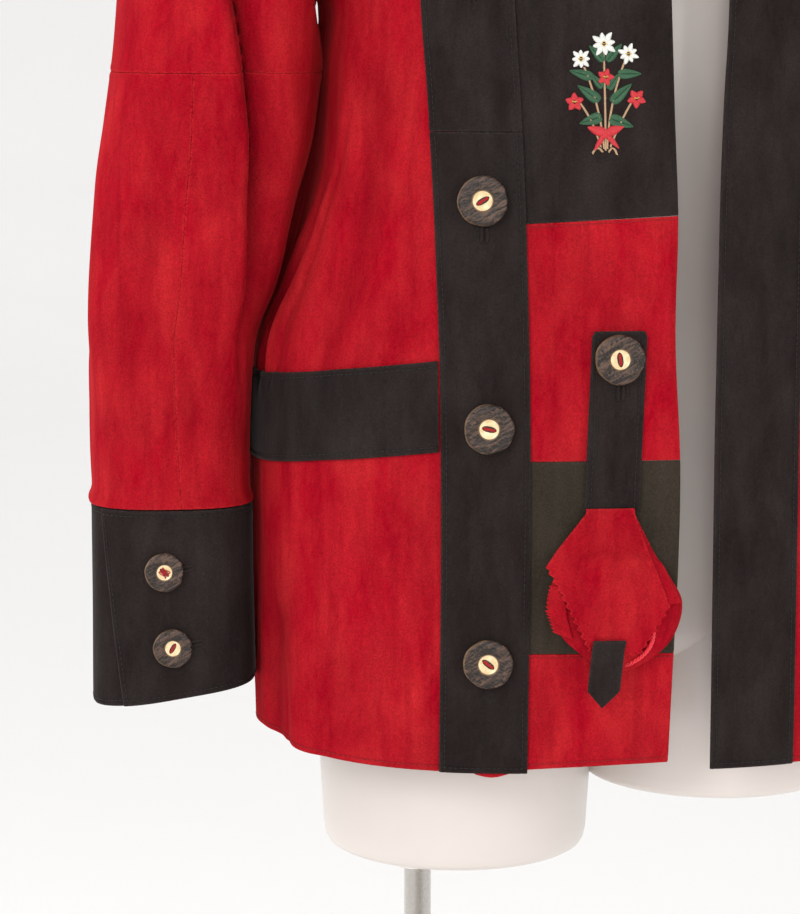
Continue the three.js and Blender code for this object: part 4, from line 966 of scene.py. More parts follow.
def bag_mesh():
    """The gathered bag: a flat lump whose front is drawn into pleats that run up to the strap."""
    rows, sides = BAG_ROWS, BAG_SIDES
    z = np.linspace(BAG[0][0], BAG[-1][0], rows)[:, None]
    turn = np.linspace(0, 2 * math.pi, sides, endpoint=False)[None, :]
    front = np.maximum(np.sin(turn), 0)
    lean = (z - 880) / 80
    broad = np.cos(turn * BROAD_PLEATS + lean * 2.2 * np.cos(turn))
    fine = np.cos(turn * FINE_PLEATS + 1.3 + lean * 3)
    pleats = broad * 0.6 + fine * 0.4
    low, high = BAG[0][0] - 1, BAG[-1][0]
    ends = np.sin(np.pi * np.clip((z - low) / (high - low), 0, 1)) ** 0.6
    width = along(BAG, BAG_WIDTH, z) * (1 + 0.022 * pleats * ends)
    x = POUCH_X + along(BAG, BAG_SHIFT, z) + width * np.cos(turn)
    z = z + 0 * turn
    h = height_level(z)
    points, normals = body_at(x, h)
    thick = along(BAG, BAG_THICK, z)
    out = BAG_LIFT + thick * (1 + np.sin(turn)) / 2 + 0.85 * pleats * ends * front ** 0.5
    points = points + normals * out[..., None]
    # Painted shade in the pleats' grooves and painted highlight on their crests, carried as fold heights.
    crease = np.where(pleats < 0, pleats * 3.5, pleats * 2) * ends
    values = {"edge": np.full(z.size, float(EDGE_FAR)), "crease": crease.ravel()}
    points, faces = lathe(points)
    return points, faces, values


def tab_sample(u, v):
    """The tab that hangs from under the flap down to a point."""
    point = np.minimum(v * 4, 1)
    z = TAB_END + TAB_LENGTH * v
    x = POUCH_X - 2 + TAB_LEAN * v + TAB_W * (u - 0.5) * np.maximum(point, 0.03)
    h = height_level(z)
    points, normals, crease = body_sample(angle_at(x, h), h)
    lift = flap_lift(POUCH_X + TAB_LEAN, np.maximum(z, 820)) + FLAP_T + LAP / 2 + 0.6
    return points + normals * lift[..., None], normals, crease * 0


# A frill's corners: start and end of its free edge and of its fold, x and z; whether it is pinked; its
# width and length laid flat and its area.
FRILLS = (
    ("pouch_frill_left", (-46.5, 861), (-49, 845), (-38, 862), (-36, 842), True, (13, 19, 205)),
    ("pouch_frill_low", (-49, 846), (-44, 832), (-36, 842), (-32, 828), True, (14, 16, 175)),
    ("pouch_gusset", (9, 900), (35, 849.5), (4.6, 900), (22, 849.5), False, (13, 58, 500)),
)


FRILL_TEETH = 0.16  # share of a frill's width that its pinking takes


FRILL_NICKS, FRILL_NICK = 24, 3.8  # length of a frill's edge and of one of its teeth


def frill_sample(outer0, outer1, inner0, inner1, pinked):
    """A frill between its free outer edge and its fold."""
    def sample(u, v):
        a = np.array(outer0) + (np.array(outer1) - np.array(outer0)) * v[..., None]
        b = np.array(inner0) + (np.array(inner1) - np.array(inner0)) * v[..., None]
        reach = u - FRILL_TEETH * saw(v * FRILL_NICKS, FRILL_NICK) * u ** 3 * pinked
        spot = b + (a - b) * reach[..., None]
        x, z = spot[..., 0], spot[..., 1]
        h = height_level(z)
        points, normals, crease = body_sample(angle_at(x, h), h)
        wave = np.sin(v * 7 + u)
        lift = flap_lift(x, z) - FLAP_CLEAR + 0.1 + 0.9 * u * wave - 2.5 * u * u
        # The wave also paints shade in its troughs and highlight on its crests.
        return points + normals * lift[..., None], normals, crease * 0 + wave * 2
    return sample


# ---------------------------------------------------------------- sleeves
def sleeve_ring(side, degrees, z):
    """One level ring of the sleeve; 0 degrees is its outer side and 90 the front."""
    outer, inner = along(SLEEVE, OUTERMOST, z), along(SLEEVE, INNERMOST, z)
    a = np.radians(degrees)
    x = (outer + inner) / 2 + (outer - inner) / 2 * np.cos(a) * bulge(a)
    y = along(SLEEVE, MIDDLE, z) - along(SLEEVE, DEPTH, z) * np.sin(a) * bulge(a)
    return np.stack(np.broadcast_arrays(side * x, y, z + 0 * x), axis=-1)


def armhole_line(side):
    """Where the sleeve is set on, once round, degree by degree from the shoulder."""
    turned = np.arange(361.0)
    share = np.where(turned <= 180, turned / 180, (360 - turned) / 180)
    h = TOP_H + (UNDERARM_H + 0.002 - TOP_H) * share
    edge = armhole_angle(h)
    edge = edge + (90 - edge) * step(share, 0.9, 1.0)
    points, normals = body(side * np.where(turned <= 180, edge, 180 - edge), h)
    under = np.sin(np.radians(share * 90)) ** 4
    return points + normals * (CLOTH + 0.9 + 3.2 * under)[..., None]


ARMHOLES = {side: armhole_line(side) for side in (-1, 1)}


def smooth_sleeve(side, degrees, g):
    """The sleeve before its folds: g is 0 at the armhole, 1 at the cross seam, 2 at the cuff."""
    low = sleeve_ring(side, degrees, CROSS_SEAM_Z + (CUFF_TOP - CROSS_SEAM_Z) * (np.maximum(g, 1) - 1))
    if np.all(g >= 1):
        return low
    turned = degrees % 360
    line = ARMHOLES[side]
    start = np.stack([np.interp(turned, np.arange(361), line[:, k]) for k in range(3)], -1)
    end = sleeve_ring(side, degrees, 0 * degrees + CROSS_SEAM_Z)
    far = np.linalg.norm(end - start, axis=-1, keepdims=True)
    drop = np.radians(20 + 40 * np.sin(np.radians(turned / 2)) ** 2)
    leave = np.stack([side * np.cos(drop), 0 * drop, -np.sin(drop)], -1) * far * 1.1
    arrive = sleeve_ring(side, degrees, 0 * degrees + CROSS_SEAM_Z - 5) - end
    arrive = arrive / np.linalg.norm(arrive, axis=-1, keepdims=True) * far
    t = np.asarray(g)[..., None]
    t2, t3 = t * t, t * t * t
    top = start * (2 * t3 - 3 * t2 + 1) + leave * (t3 - 2 * t2 + t)
    top = top + end * (3 * t2 - 2 * t3) + arrive * (t3 - t2)
    return np.where(t >= 1, low, top)


def sleeve_fold(degrees, z, g):
    """The first fold is the deep one: the front of the sleeve breaks off over it like a step."""
    turned = degrees % 360
    low, high, z0, z1, wide, rise = SLEEVE_FOLDS[0]
    t = (z - z0) / (z1 - z0)
    off = turned - low - (high - low) * t
    fade = step(z, z0 - 25, z0 + 90) * (1 - step(z, z1 - 97, z1))
    wall = step(off, -3.2, 3.2)
    deep = rise * wall * (np.exp(-(off / wide) ** 2) + 0.75 * np.exp(-((off - 4) / DEEP_WIDE) ** 2))
    lip = LIP_RISE * np.exp(-((off + 7) / 6) ** 2)
    rest = fold_rise(SLEEVE_FOLDS[1:] + SLEEVE_CREASES, turned, z)
    return step(g, 0, 0.5) * (rest + fade * (deep + lip))


def folded_sleeve(side, degrees, g):
    """The sleeve with its folds."""
    surface = lambda a, b: smooth_sleeve(side, a, np.maximum(b, 0))
    point = surface(degrees, g)
    normal = normal_of(surface, degrees, g, 1, 0.004) * side
    return point + normal * sleeve_fold(degrees, point[..., 2], g)[..., None]


def sleeve_sample(side, angle_of, level_of_row):
    """A part of the sleeve from its own shares u, v."""
    def sample(u, v):
        degrees, g = angle_of(u, v) + 0 * u, level_of_row(v) + 0 * u
        surface = lambda a, b: folded_sleeve(side, a, np.maximum(b, 0))
        points = surface(degrees, g)
        normals = normal_of(surface, degrees, g, 1, 0.004) * side
        # The fold heights paint shade in the sleeve's folds and highlight on their ridges.
        return points, normals, sleeve_fold(degrees, points[..., 2], g)
    return sample


SEAM_GAP = 0.04  # degrees from a cut edge to the sleeve's long seams


def part_angle(start, end):
    """Angles of a long part of the sleeve between its two seams."""
    def angle(u, v):
        a = start[0] + (start[1] - start[0]) * v + SEAM_GAP
        b = end[0] + (end[1] - end[0]) * v - SEAM_GAP
        b = b + 360 * (end[0] < start[0])
        return a + (b - a) * u
    return angle


def cuff_sample(side):
    """The cuff, wound once round and lapped over its own start."""
    def sample(u, v):
        turn = CUFF_EDGE + CUFF_SLANT * (0.5 - v) + (360 + CUFF_LAP) * (1 - u)
        end = CUFF_END + CUFF_DROP * np.sin(np.radians(turn - CUFF_LEVEL))
        z = end + (CUFF_TOP - CUFF_GAP - end) * v
        surface = lambda a, b: sleeve_ring(side, a, b)
        normals = normal_of(surface, turn, z, 1.0, 1.0) * -side
        wave = 0.7 * np.sin(np.radians(turn * 3 + 40)) * step(v, 0.6, 0.0)
        outward = surface(turn, z) - surface(turn + 180, z)
        normals = normals * np.sign(np.sum(normals * outward, -1))[..., None]
        points = surface(turn, z) + normals * (CUFF_SPIRAL * u + wave)[..., None]
        # The wave also paints shade in its troughs and highlight on its crests.
        return points, normals, wave
    return sample


# ---------------------------------------------------------------- buttons
def button_axes(normal, turn):
    """Across, up and out of a button whose thread is turned by some degrees."""
    across = np.cross((0, 0, 1), normal)
    across /= np.linalg.norm(across)
    up = np.cross(normal, across)
    c, s = math.cos(math.radians(turn)), math.sin(math.radians(turn))
    return np.array([across * c + up * s, up * c - across * s, normal])


BUTTON_SIDES, CARVED_ROWS = 112, 10
RIDGE_PITCH, FACET_PITCH, CARVING = 2.4, 4.3, 0.42  # of the bark on a button's ring
# Radius and height of the rings of a button's pale, sunk eye.
EYE_DISH = (
    (BUTTON_EYE_R - 0.05, BUTTON_T - 1.3), (BUTTON_EYE_R - 0.8, BUTTON_T - 1.95),
    (BUTTON_EYE_R - 2.6, BUTTON_T - 2.25), (0.0, BUTTON_T - 2.3),
)
EYE_FLOOR = BUTTON_T - 2.25
SLOT_HALF, SLOT_R, STRAND_R, SHANK_R = 4.7, 1.9, 0.36, 1.5
SLOT_TAPER = np.array([0.3, 0.8, 1, 1, 1, 0.8, 0.3])
STRAND_X = np.array([-4.1, -3.6, -1.9, 0, 1.9, 3.6, 4.1])
# Offset and slope of each strand of thread in a button's eye: as sewn, and as mended by hand.
STRANDS = ((-0.5, 0), (0.05, 0), (0.5, 0))
MENDED = (
    (-2.3, 0.25), (-1.5, -0.2), (-0.7, 0.3), (0.1, -0.25), (0.9, 0.2), (1.7, -0.3), (2.4, 0.1), (0, 0.6),
)


def button_rows(angle, wobble, left):
    """Radius, height, pale rim and depth of carving, ring by ring from the back to the eye. On the outer
    edge the pale rim is a painted highlight on the side towards the key light; at the eye it is polish.
    """
    slow, quick = np.sin(angle * 3 + wobble), np.sin(angle * 7 + 2 * wobble)
    r = BUTTON_R * (1 - 0.012 * (1 + slow) - 0.008 * (1 + quick))
    # Painted highlight: the outer edge is paler on the side towards the key light, which left points to.
    pale = np.clip(0.2 + 0.9 * np.cos(angle - left), 0, 1)
    none = 0 * r
    rows = [
        (none, 0.4 + none, none, 0), (r - 3, none, none, 0), (r - 1.1, 0.35 + none, 0.3 * pale, 0),
        (r - 0.25, 1.3 + none, pale, 0), (r, BUTTON_T * 0.5 + none, pale, 0.2),
        (r - 0.35, BUTTON_T * 0.78 + none, 0.55 * pale, 0.4),
    ]
    for share in np.linspace(0, 1, CARVED_ROWS):
        crown = math.sin(math.pi * share)
        radius = (r - 1.2) * (1 - share) + (BUTTON_EYE_R + 1) * share
        rows.append((radius, BUTTON_T - 0.55 + 0.3 * crown + none, none, 0.55 + 0.45 * crown))
    rows.append((BUTTON_EYE_R + 0.5 + none, BUTTON_T - 0.75 + none, 0.55 + none, 0))
    rows.append((BUTTON_EYE_R + none, BUTTON_T - 1.3 + none, 0.8 + none, 0))
    return rows


def carved_ring(axes, wobble):
    """Points, faces, pale rim and material of the horn and its eye, in the button's own axes."""
    across, up, _ = axes
    sides = BUTTON_SIDES
    angle = np.arange(sides) * 2 * math.pi / sides
    points, rim = [], []
    # The last argument points to the wearer's right, where the key light stands, for the painted highlight
    # on the rim.
    rows = button_rows(angle, wobble, math.atan2(-up[0], -across[0]))
    for r, z, pale, carved in rows:
        x, y = r * np.cos(angle), r * np.sin(angle)
        bent = y + 1.3 * np.sin(0.42 * x + wobble) + 0.5 * np.sin(1.25 * x + 0.7 * y)
        ridge = np.sin(2 * math.pi * bent / RIDGE_PITCH)
        slanted = 0.8 * x + 0.6 * y + 0.8 * np.sin(0.8 * y + 2 * wobble)
        facet = np.sin(2 * math.pi * slanted / FACET_PITCH)
        bark = np.clip(0.95 * ridge + 0.35 * facet, -1, 0.8)
        points.append(np.stack([x, y, z + CARVING * carved * bark], 1))
        # Painted highlight: the carved crests are a little paler.
        rim.append(pale + 0.1 * carved * np.maximum(bark, 0))
    for r, z in EYE_DISH:
        points.append(np.stack([r * np.cos(angle), r * np.sin(angle), z + 0 * angle], 1))
        rim.append(np.zeros(sides))
    faces, picks = [], []
    for j in range(len(points) - 1):
        for i in range(sides):
            n = (i + 1) % sides
            faces.append((j * sides + i, j * sides + n, (j + 1) * sides + n, (j + 1) * sides + i))
            picks.append(0 if j < len(rows) - 1 else 1)
    return np.concatenate(points), faces, np.concatenate(rim), picks


def make_button(name, point, normal, turn, wobble, size=1.0, strands=STRANDS):
    """A carved horn ring with a sunk pale middle, a slot and a bar of thread through its holes. The slot is
    a flat dark capsule on the eye's floor whose dark is painted shade of the sunk slot.
    """
    axes = button_axes(normal, turn)
    scaled = size * axes
    points, faces, rim, picks = carved_ring(axes, wobble)
    made = mesh_object(name, point + points @ scaled, faces, [paint("horn"), paint("core")], None,
                       {"rim": rim}, picks)
    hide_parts(name.replace("_horn", ""))
    # Painted shade: a flat dark capsule on the eye's floor stands for the shadowed slot.
    count = len(SLOT_TAPER)
    x = np.linspace(-SLOT_HALF, SLOT_HALF, count)
    slot = point + np.stack([x, 0 * x, EYE_FLOOR + 0.1 + 0 * x], 1) @ scaled
    upright = np.broadcast_to(axes[2], (count, 3))
    spots, sheets = rods([slot], [upright], SLOT_R * size * SLOT_TAPER, 0.16, 10)
    mesh_object(name.replace("_horn", "_slot"), spots, sheets, paint("horn"))
    centres = []
    for k, (shift, slope) in enumerate(strands):
        z = EYE_FLOOR + np.array([-1.0, 0.1, 0.75, 0.95 + 0.12 * (k % 3), 0.75, 0.1, -1.0])
        y = shift + slope * STRAND_X + 0.16 * np.sin(STRAND_X * 1.1 + k)
        centres.append(point + np.stack([STRAND_X, y, z], 1) @ scaled)
    spots, sheets = rods(centres, [upright] * len(strands), STRAND_R * size, 0.9, 8)
    mesh_object(name.replace("_horn", "_thread"), spots, sheets, paint("button thread"))
    none = np.zeros(8)
    shank = point + np.stack([none, none, np.linspace(-0.75, 0.6, 8)], 1) @ axes
    spots, sheets = rods([shank], [np.broadcast_to(axes[0], (8, 3))], SHANK_R, 1.0, 12)
    mesh_object(name.replace("_horn", "_shank"), spots, sheets, paint("black thread"))


def bound_hole(name, point, normal, along_axis, length, lips):
    """A bound buttonhole: two rolled lips either side of a slit, and the stitches round them."""
    side = np.cross(normal, along_axis)
    centres, ups, radii = [], [], []
    for sign in (-1, 1):
        s = np.linspace(0, length, 9)[:, None]
        centres.append(point + along_axis * s + side * sign * (lips + 0.35) + normal * 0.1)
        ups.append(np.broadcast_to(normal, (9, 3)))
        radii.append(lips * np.array([0.5, 0.9, 1, 1, 1, 1, 1, 0.9, 0.5]))
    spots, sheets = rods(centres, ups, np.array(radii), 0.8, 8)
    edge = {"edge": np.full(len(spots), 1.2), "crease": np.zeros(len(spots))}
    mesh_object(f"{name}_lips", spots, sheets, paint("black"), None, edge)
    box = []
    reach = lips * 2 + 1.5
    for a, b in (
        ((0.5, -reach), (length, -reach)),
        ((length + 1.3, -reach + 0.5), (length + 1.3, reach - 0.5)),
        ((length, reach), (0.5, reach)),
    ):
        ends = [point + along_axis * p + side * q + normal * 0.12 for p, q in (a, b)]
        t = np.linspace(0, 1, 8)[:, None]
        box.append((ends[0] * (1 - t) + ends[1] * t, np.broadcast_to(normal, (8, 3))))
    stitches(f"{name}_stitches", box, paint("black thread"), 2.3, 1.7, 0.24, 5)


# ---------------------------------------------------------------- embroidery
POSY_X, POSY_Z = -11, 1160


def satin(threads, base, tip, width, power=0.8, pitch=0.46, slant=0.0, dome=0.7, split=False):
    """Threads laid across a leaf from base to tip; split ones meet in a vein down the middle."""
    base, tip = np.array(base, float), np.array(tip, float)
    length = np.linalg.norm(tip - base)
    ahead = (tip - base) / length
    side = np.array([-ahead[1], ahead[0]])
    count = max(int(length / pitch), 3)
    for k in range(count):
        t = (k + 0.5) / count
        half = width * math.sin(math.pi * min(t ** power, 1.0)) ** 0.75 + 0.15
        middle = base + ahead * t * length
        if split:
            for sign in (-1, 1):
                end = middle + side * sign * half - ahead * slant * half
                threads.append((middle, end, dome * 0.8))
        else:
            a = middle - side * half - ahead * slant * half
            b = middle + side * half + ahead * slant * half
            threads.append((a, b, dome))


def stem(threads, points, width=1.1, pitch=0.5):
    """Short slanting threads along a curved stem."""
    points = np.array(points, float)
    t = np.linspace(0, 1, 40)[:, None]
    a, b, c = points
    curve = a * (1 - t) ** 2 + 2 * b * t * (1 - t) + c * t * t
    length = np.concatenate([[0], np.cumsum(np.linalg.norm(np.diff(curve, axis=0), axis=1))])
    for s in np.arange(0, length[-1], pitch):
        spot = np.array([np.interp(s, length, curve[:, k]) for k in (0, 1)])
        far = np.array([np.interp(s + 0.6, length, curve[:, k]) for k in (0, 1)])
        ahead = (far - spot) / max(np.linalg.norm(far - spot), 1e-6)
        side = np.array([-ahead[1], ahead[0]])
        threads.append((spot - side * width / 2 - ahead * 0.4, spot + side * width / 2 + ahead * 0.4, 0.35))


def knots(spots, radius):
    """Small round knots, as rods so short that they are beads."""
    return [((x - radius, z), (x + radius, z), radius * 1.1) for x, z in spots]


def posy():
    """An alpine posy: edelweiss, red blossoms, leaves, tan stems and a red ribbon."""
    white, green, red, tan, gold = [], [], [], [], []
    for bend in (
        ((-1, -33), (-3, -8), (-13, 16)), ((1, -33), (2, -6), (12, 20)), ((0, -34), (0, -10), (-1, 26)),
        ((-3, -32), (-8, -14), (-17, -4)), ((3, -32), (9, -16), (18, -2)), ((2, -35), (5, -30), (7, -37)),
        ((-2, -35), (-5, -30), (-8, -36)),
    ):
        stem(tan, bend)
    for base, tip, width in (
        ((-3, -14), (-16, -18), 3.4), ((3, -15), (17, -20), 3.5), ((-4, -4), (-17, 5), 3.2),
        ((4, -5), (16, 6), 3.3), ((-8, 10), (-22, 14), 2.9), ((8, 12), (22, 12), 2.9),
        ((-2, 4), (-9, 12), 2.3), ((2, 3), (8, 12), 2.3), ((-1, 20), (-10, 29), 2.5),
        ((1, 20), (10, 30), 2.5),
    ):
        satin(green, base, tip, width, 0.85, 0.42, 0.9, 0.6, True)
    for cx, cz, size, start in ((-1, 30, 8.2, 10), (-15, 21, 6.4, 0), (14, 24, 6.6, 25)):
        for k in range(8):
            a = math.radians(start + k * 45)
            reach = size * (1.0 if k % 2 else 0.82)
            base = (cx + 1.2 * math.cos(a), cz + 1.2 * math.sin(a))
            tip = (cx + reach * math.cos(a), cz + reach * math.sin(a))
            satin(white, base, tip, size * 0.2, 0.75, 0.4, 0.35, 0.7)
        gold += knots([(cx, cz), (cx + 1.3, cz), (cx - 1.3, cz), (cx, cz + 1.3), (cx, cz - 1.3)], 0.75)
    for cx, cz, size, start in ((-19, -5, 5.6, 18), (19, -3, 5.8, 50), (0, 10, 5.2, 0)):
        for k in range(5):
            a = math.radians(start + k * 72)
            base = (cx + 1.0 * math.cos(a), cz + 1.0 * math.sin(a))
            tip = (cx + size * math.cos(a), cz + size * math.sin(a))
            satin(red, base, tip, size * 0.34, 0.62, 0.4, 0.2, 0.7)
        gold += knots([(cx, cz), (cx + 0.9, cz + 0.5), (cx - 0.9, cz + 0.4)], 0.7)
    for base, tip, width in (
        ((0, -24), (-11, -20), 2.8), ((0, -24), (11, -20), 2.8), ((-1, -25), (-7, -34), 1.5),
        ((1, -25), (8, -33), 1.5),
    ):
        satin(red, base, tip, width, 0.6, 0.42, 0.25, 0.75)
    satin(red, (0, -27), (0, -21.5), 2.0, 1.0, 0.4, 0.0, 1.0)
    return (("white", white), ("green", green), ("red", red), ("tan", tan), ("gold", gold))


def embroider(name, threads, material_name, lift):
    """Raises flat threads off the cloth: each is a thin rod that arches over its padding."""
    rng = np.random.default_rng(11)
    flat = np.array([[*a, *b, dome] for a, b, dome in threads])
    t = np.linspace(0, 1, 6)[None, :]
    x = POSY_X + flat[:, 0:1] * (1 - t) + flat[:, 2:3] * t
    z = POSY_Z + flat[:, 1:2] * (1 - t) + flat[:, 3:4] * t
    h = height_level(z)
    points, normals = body_at(x, h)
    arch = flat[:, 4:5] * np.sqrt(np.maximum(1 - (2 * t - 1) ** 2, 0)) - 0.12
    arch = arch + rng.normal(0, 0.05, (len(flat), 1))
    centres = points + normals * (CLOTH + lift + arch)[..., None]
    spots, sheets = rods(centres, normals, 0.27, 0.8, 5)
    mesh_object(name, spots, sheets, paint(material_name))


# ---------------------------------------------------------------- form and stand
def lathe(rings):
    """Points and faces of a closed piece from stacked rings of equal size."""
    count, sides = len(rings), len(rings[0])
    faces = []
    for j in range(count - 1):
        for i in range(sides):
            n = (i + 1) % sides
            faces.append((j * sides + i, j * sides + n, (j + 1) * sides + n, (j + 1) * sides + i))
    faces.append(tuple(range(sides))[::-1])
    faces.append(tuple(range((count - 1) * sides, count * sides)))
    return np.concatenate(rings), faces


def joined(parts):
    """Several closed pieces as the points and faces of one mesh."""
    points, faces = parts[0]
    for more, sides in parts[1:]:
        faces = faces + [tuple(k + len(points) for k in face) for face in sides]
        points = np.concatenate([points, more])
    return points, faces


FORM_SIDES, FORM_SHOULDER_Z = 112, 1300
FORM_ROWS = ((786, FORM_SHOULDER_Z, 80), (1304, 1420, 26), (1422, 1543, 56))


def form_rings():
    """Rings of the dress form from the hips to the neck."""
    a = np.arange(FORM_SIDES) * 2 * math.pi / FORM_SIDES
    heights = np.concatenate([np.linspace(*rows) for rows in FORM_ROWS])
    rings = []
    for z in heights:
        if z < FORM_SHOULDER_Z:
            wide, front, back, mid = (float(along(FORM, k, z)) for k in (1, 2, 3, 4))
        else:
            table = np.array(FORM)
            wide, front, back, mid = (float(np.interp(z, table[:, 0], table[:, k])) for k in (1, 2, 3, 4))
        depth = np.where(np.cos(a) > 0, front, back) * FORM_INSET
        rings.append(np.stack([wide * FORM_INSET * np.sin(a), mid - depth * np.cos(a), z + 0 * a], 1))
    return rings


def thigh_rings(x, wide, deep, low, high):
    """A thigh end with a softly rolled rim and a flat sole."""
    a = np.arange(FORM_SIDES) * 2 * math.pi / FORM_SIDES
    steps = [
        (low, 0.2), (low, 0.86), (low + 0.6, 0.9), (low + 2, 0.926), (low + 5, 0.945), (low + 12, 0.958),
        (low + 24, 0.966), (low + 50, 0.984), (low + 90, 1.004), (high, 0.9), (high, 0.3),
    ]
    return [
        np.stack([x + wide * s * np.cos(a), 2 + deep * s * np.sin(a), z + 0 * a], 1) for z, s in steps
    ]


# Radius and height, from the bottom up, of the pole with its collar, the foot's plate and its socket.
THIGH_END = THIGHS[0][3]
POLE_PROFILE = (
    (POLE_R - 1, FOOT_T + 0.4), (POLE_R, FOOT_T + 1.4), (POLE_R, THIGH_END - 22),
    (POLE_R + 5, THIGH_END - 21), (POLE_R + 5.6, THIGH_END - 20), (POLE_R + 5.6, THIGH_END - 10),
    (POLE_R + 5, THIGH_END - 9), (POLE_R, THIGH_END - 8), (POLE_R, THIGH_END + 58),
    (POLE_R - 1, THIGH_END + 60),
)
FOOT_PLATE = (
    (FOOT_R - 3, 0), (FOOT_R - 0.8, 0.8), (FOOT_R, 2.4), (FOOT_R, FOOT_T - 2.4),
    (FOOT_R - 0.8, FOOT_T - 0.7), (FOOT_R - 3, FOOT_T),
)
FOOT_COLLAR = (
    (23, FOOT_T - 1), (23, FOOT_T), (21, FOOT_T + 2), (20, FOOT_T + 5), (20, 43), (19.3, 45), (17, 46),
)


def turned_rings(profile, x, y, sides):
    """Rings of a turned piece round an upright axis."""
    a = np.arange(sides) * 2 * math.pi / sides
    return [np.stack([x + r * np.cos(a), y + r * np.sin(a), z + 0 * a], 1) for r, z in profile]


# ---------------------------------------------------------------- properties
def tint(name, text, default):
    """A colour property."""
    return FloatVectorProperty(
        name=name, description=text, subtype="COLOR", size=3, min=0, max=1, default=default)


class JACKET_PG_colours(bpy.types.PropertyGroup):
    # The deep colours also serve as painted shade in the creases; the lit colours also serve as painted
    # highlight on the ridges, besides rubbed wear.
    red: tint("Red suede", "Main colour of the red suede", (0.300, 0.0010, 0.0105))
    red_lit: tint(
        "Red, brushed up", "Red suede where the nap stands towards the light", (0.45, 0.021, 0.023))
    red_deep: tint(
        "Red, brushed down", "Red suede in creases and dark blotches", (0.165, 0.0006, 0.006))
    black: tint("Black suede", "Main colour of the black suede", (0.0155, 0.0107, 0.0103))
    black_lit: tint(
        "Black, brushed up", "Black suede where the nap stands towards the light", (0.039, 0.032, 0.031))
    black_deep: tint("Black, brushed down", "Black suede in creases", (0.0065, 0.0055, 0.0055))
    green: tint("Green suede", "Main colour of the olive block", (0.031, 0.0235, 0.0175))
    green_lit: tint(
        "Green, brushed up", "Olive suede where the nap stands towards the light", (0.052, 0.041, 0.031))
    green_deep: tint("Green, brushed down", "Olive suede in dark blotches", (0.010, 0.011, 0.008))
    form: tint("Dress form", "Colour of the form's shell", (0.64, 0.585, 0.55))


class JACKET_PG_sizes(bpy.types.PropertyGroup):
    stitch_period: FloatProperty(
        name="Stitch period", description="From one topstitch to the next", unit="LENGTH",
        default=0.0034, min=0.002, max=0.01)
    stitch_length: FloatProperty(
        name="Stitch length", description="Visible length of one topstitch", unit="LENGTH",
        default=0.0024, min=0.001, max=0.009)
    stitch_in: FloatProperty(
        name="Stitch inset", description="Distance of the topstitching from an edge", unit="LENGTH",
        default=0.0035, min=0.001, max=0.008)
    cloth_pitch: FloatProperty(
        name="Cloth pitch", description="Mesh spacing of the cloth in view", unit="LENGTH",
        default=0.0032, min=0.002, max=0.01)


def sizes():
    """The panel's sizes."""
    return bpy.context.scene.jacket_sizes


def pitch():
    """Mesh spacing of the cloth in millimetres."""
    return sizes().cloth_pitch / MM


# ---------------------------------------------------------------- operators
class JACKET_OT_form(bpy.types.Operator):
    """Build the dress form with its pole and foot"""
    bl_idname = "jacket.form"
    bl_label = "Dress form and stand"

    def execute(self, context):
        steel = paint("steel")
        points, faces = joined([lathe(form_rings()), *(lathe(thigh_rings(*thigh)) for thigh in THIGHS)])
        made = mesh_object("dress_form_shell", points, faces, paint("form"))
        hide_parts("dress_form")
        points, faces = lathe(turned_rings(POLE_PROFILE, POLE_X, POLE_Y, 64))
        made = mesh_object("stand_pole_steel", points, faces, steel)
        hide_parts("stand_pole")
        plate = lathe(turned_rings(FOOT_PLATE, FOOT_X, 0, 128))
        points, faces = joined([plate, lathe(turned_rings(FOOT_COLLAR, POLE_X, POLE_Y, 64))])
        made = mesh_object("stand_foot_steel", points, faces, steel)
        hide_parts("stand_foot")
        return {"FINISHED"}


class JACKET_OT_body(bpy.types.Operator):
    """Build both fronts and the back"""
    bl_idname = "jacket.body"
    bl_label = "Fronts and back"

    def execute(self, context):
        make_front(-1, "right_front", pitch())
        make_front(1, "left_front", pitch() * LEFT_FRONT_PITCH)
        edges = {"left": "seam", "right": "seam", "low": "stitched", "high": "seam"}
        coarse = pitch() * BACK_PITCH
        shell("back_cloth", "back", back_sample, spaced(BACK_ROUND, coarse), spaced(BODY_DOWN, coarse),
              0, CLOTH, paint("red"), edges)
        return {"FINISHED"}


class JACKET_OT_bands(bpy.types.Operator):
    """Build the button bands, the neck band and the pocket band"""
    bl_idname = "jacket.bands"
    bl_label = "Bands"

    def execute(self, context):
        split = float(height_level(BAND_SEAM_Z))
        gap = SEAM / 2 / (CHEST_Z - HEM_Z)
        black = paint("black")
        across = spaced(BAND_W, 2.6)
        for name, side, low, high, foot in (
            ("right_band_lower", -1, 0.0, split - gap, "stitched"),
            ("right_band_upper", -1, split + gap, TOP_H, "seam"),
            ("left_band", 1, 0.0, TOP_H, "stitched"),
        ):
            edges = {"left": "stitched", "right": "stitched", "low": foot, "high": "seam"}
            up = spaced((high - low) * LEVEL_DOWN, 3.2)
            shell(f"{name}_cloth", name, band_sample(side, low, high), across, up, BAND_LIFT, BAND_TOP,
                  black, edges)
        edges = {"left": "seam", "right": "seam", "low": "stitched", "high": "turned"}
        shell("neck_band_cloth", "neck_band", neck_sample, spaced(NECK_ROUND, 4), spaced(NECK_DOWN, 2.2),
              BAND_LIFT + 2 * LAP, BAND_TOP + 2 * LAP, black, edges)
        edges = {"left": "turned", "right": "seam", "low": "stitched", "high": "stitched"}
        shell("pocket_band_cloth", "pocket_band", pocket_sample, spaced(POCKET_ROUND, 3),
              spaced(POCKET_W, 2.6), BAND_LIFT, BAND_TOP, black, edges)
        return {"FINISHED"}


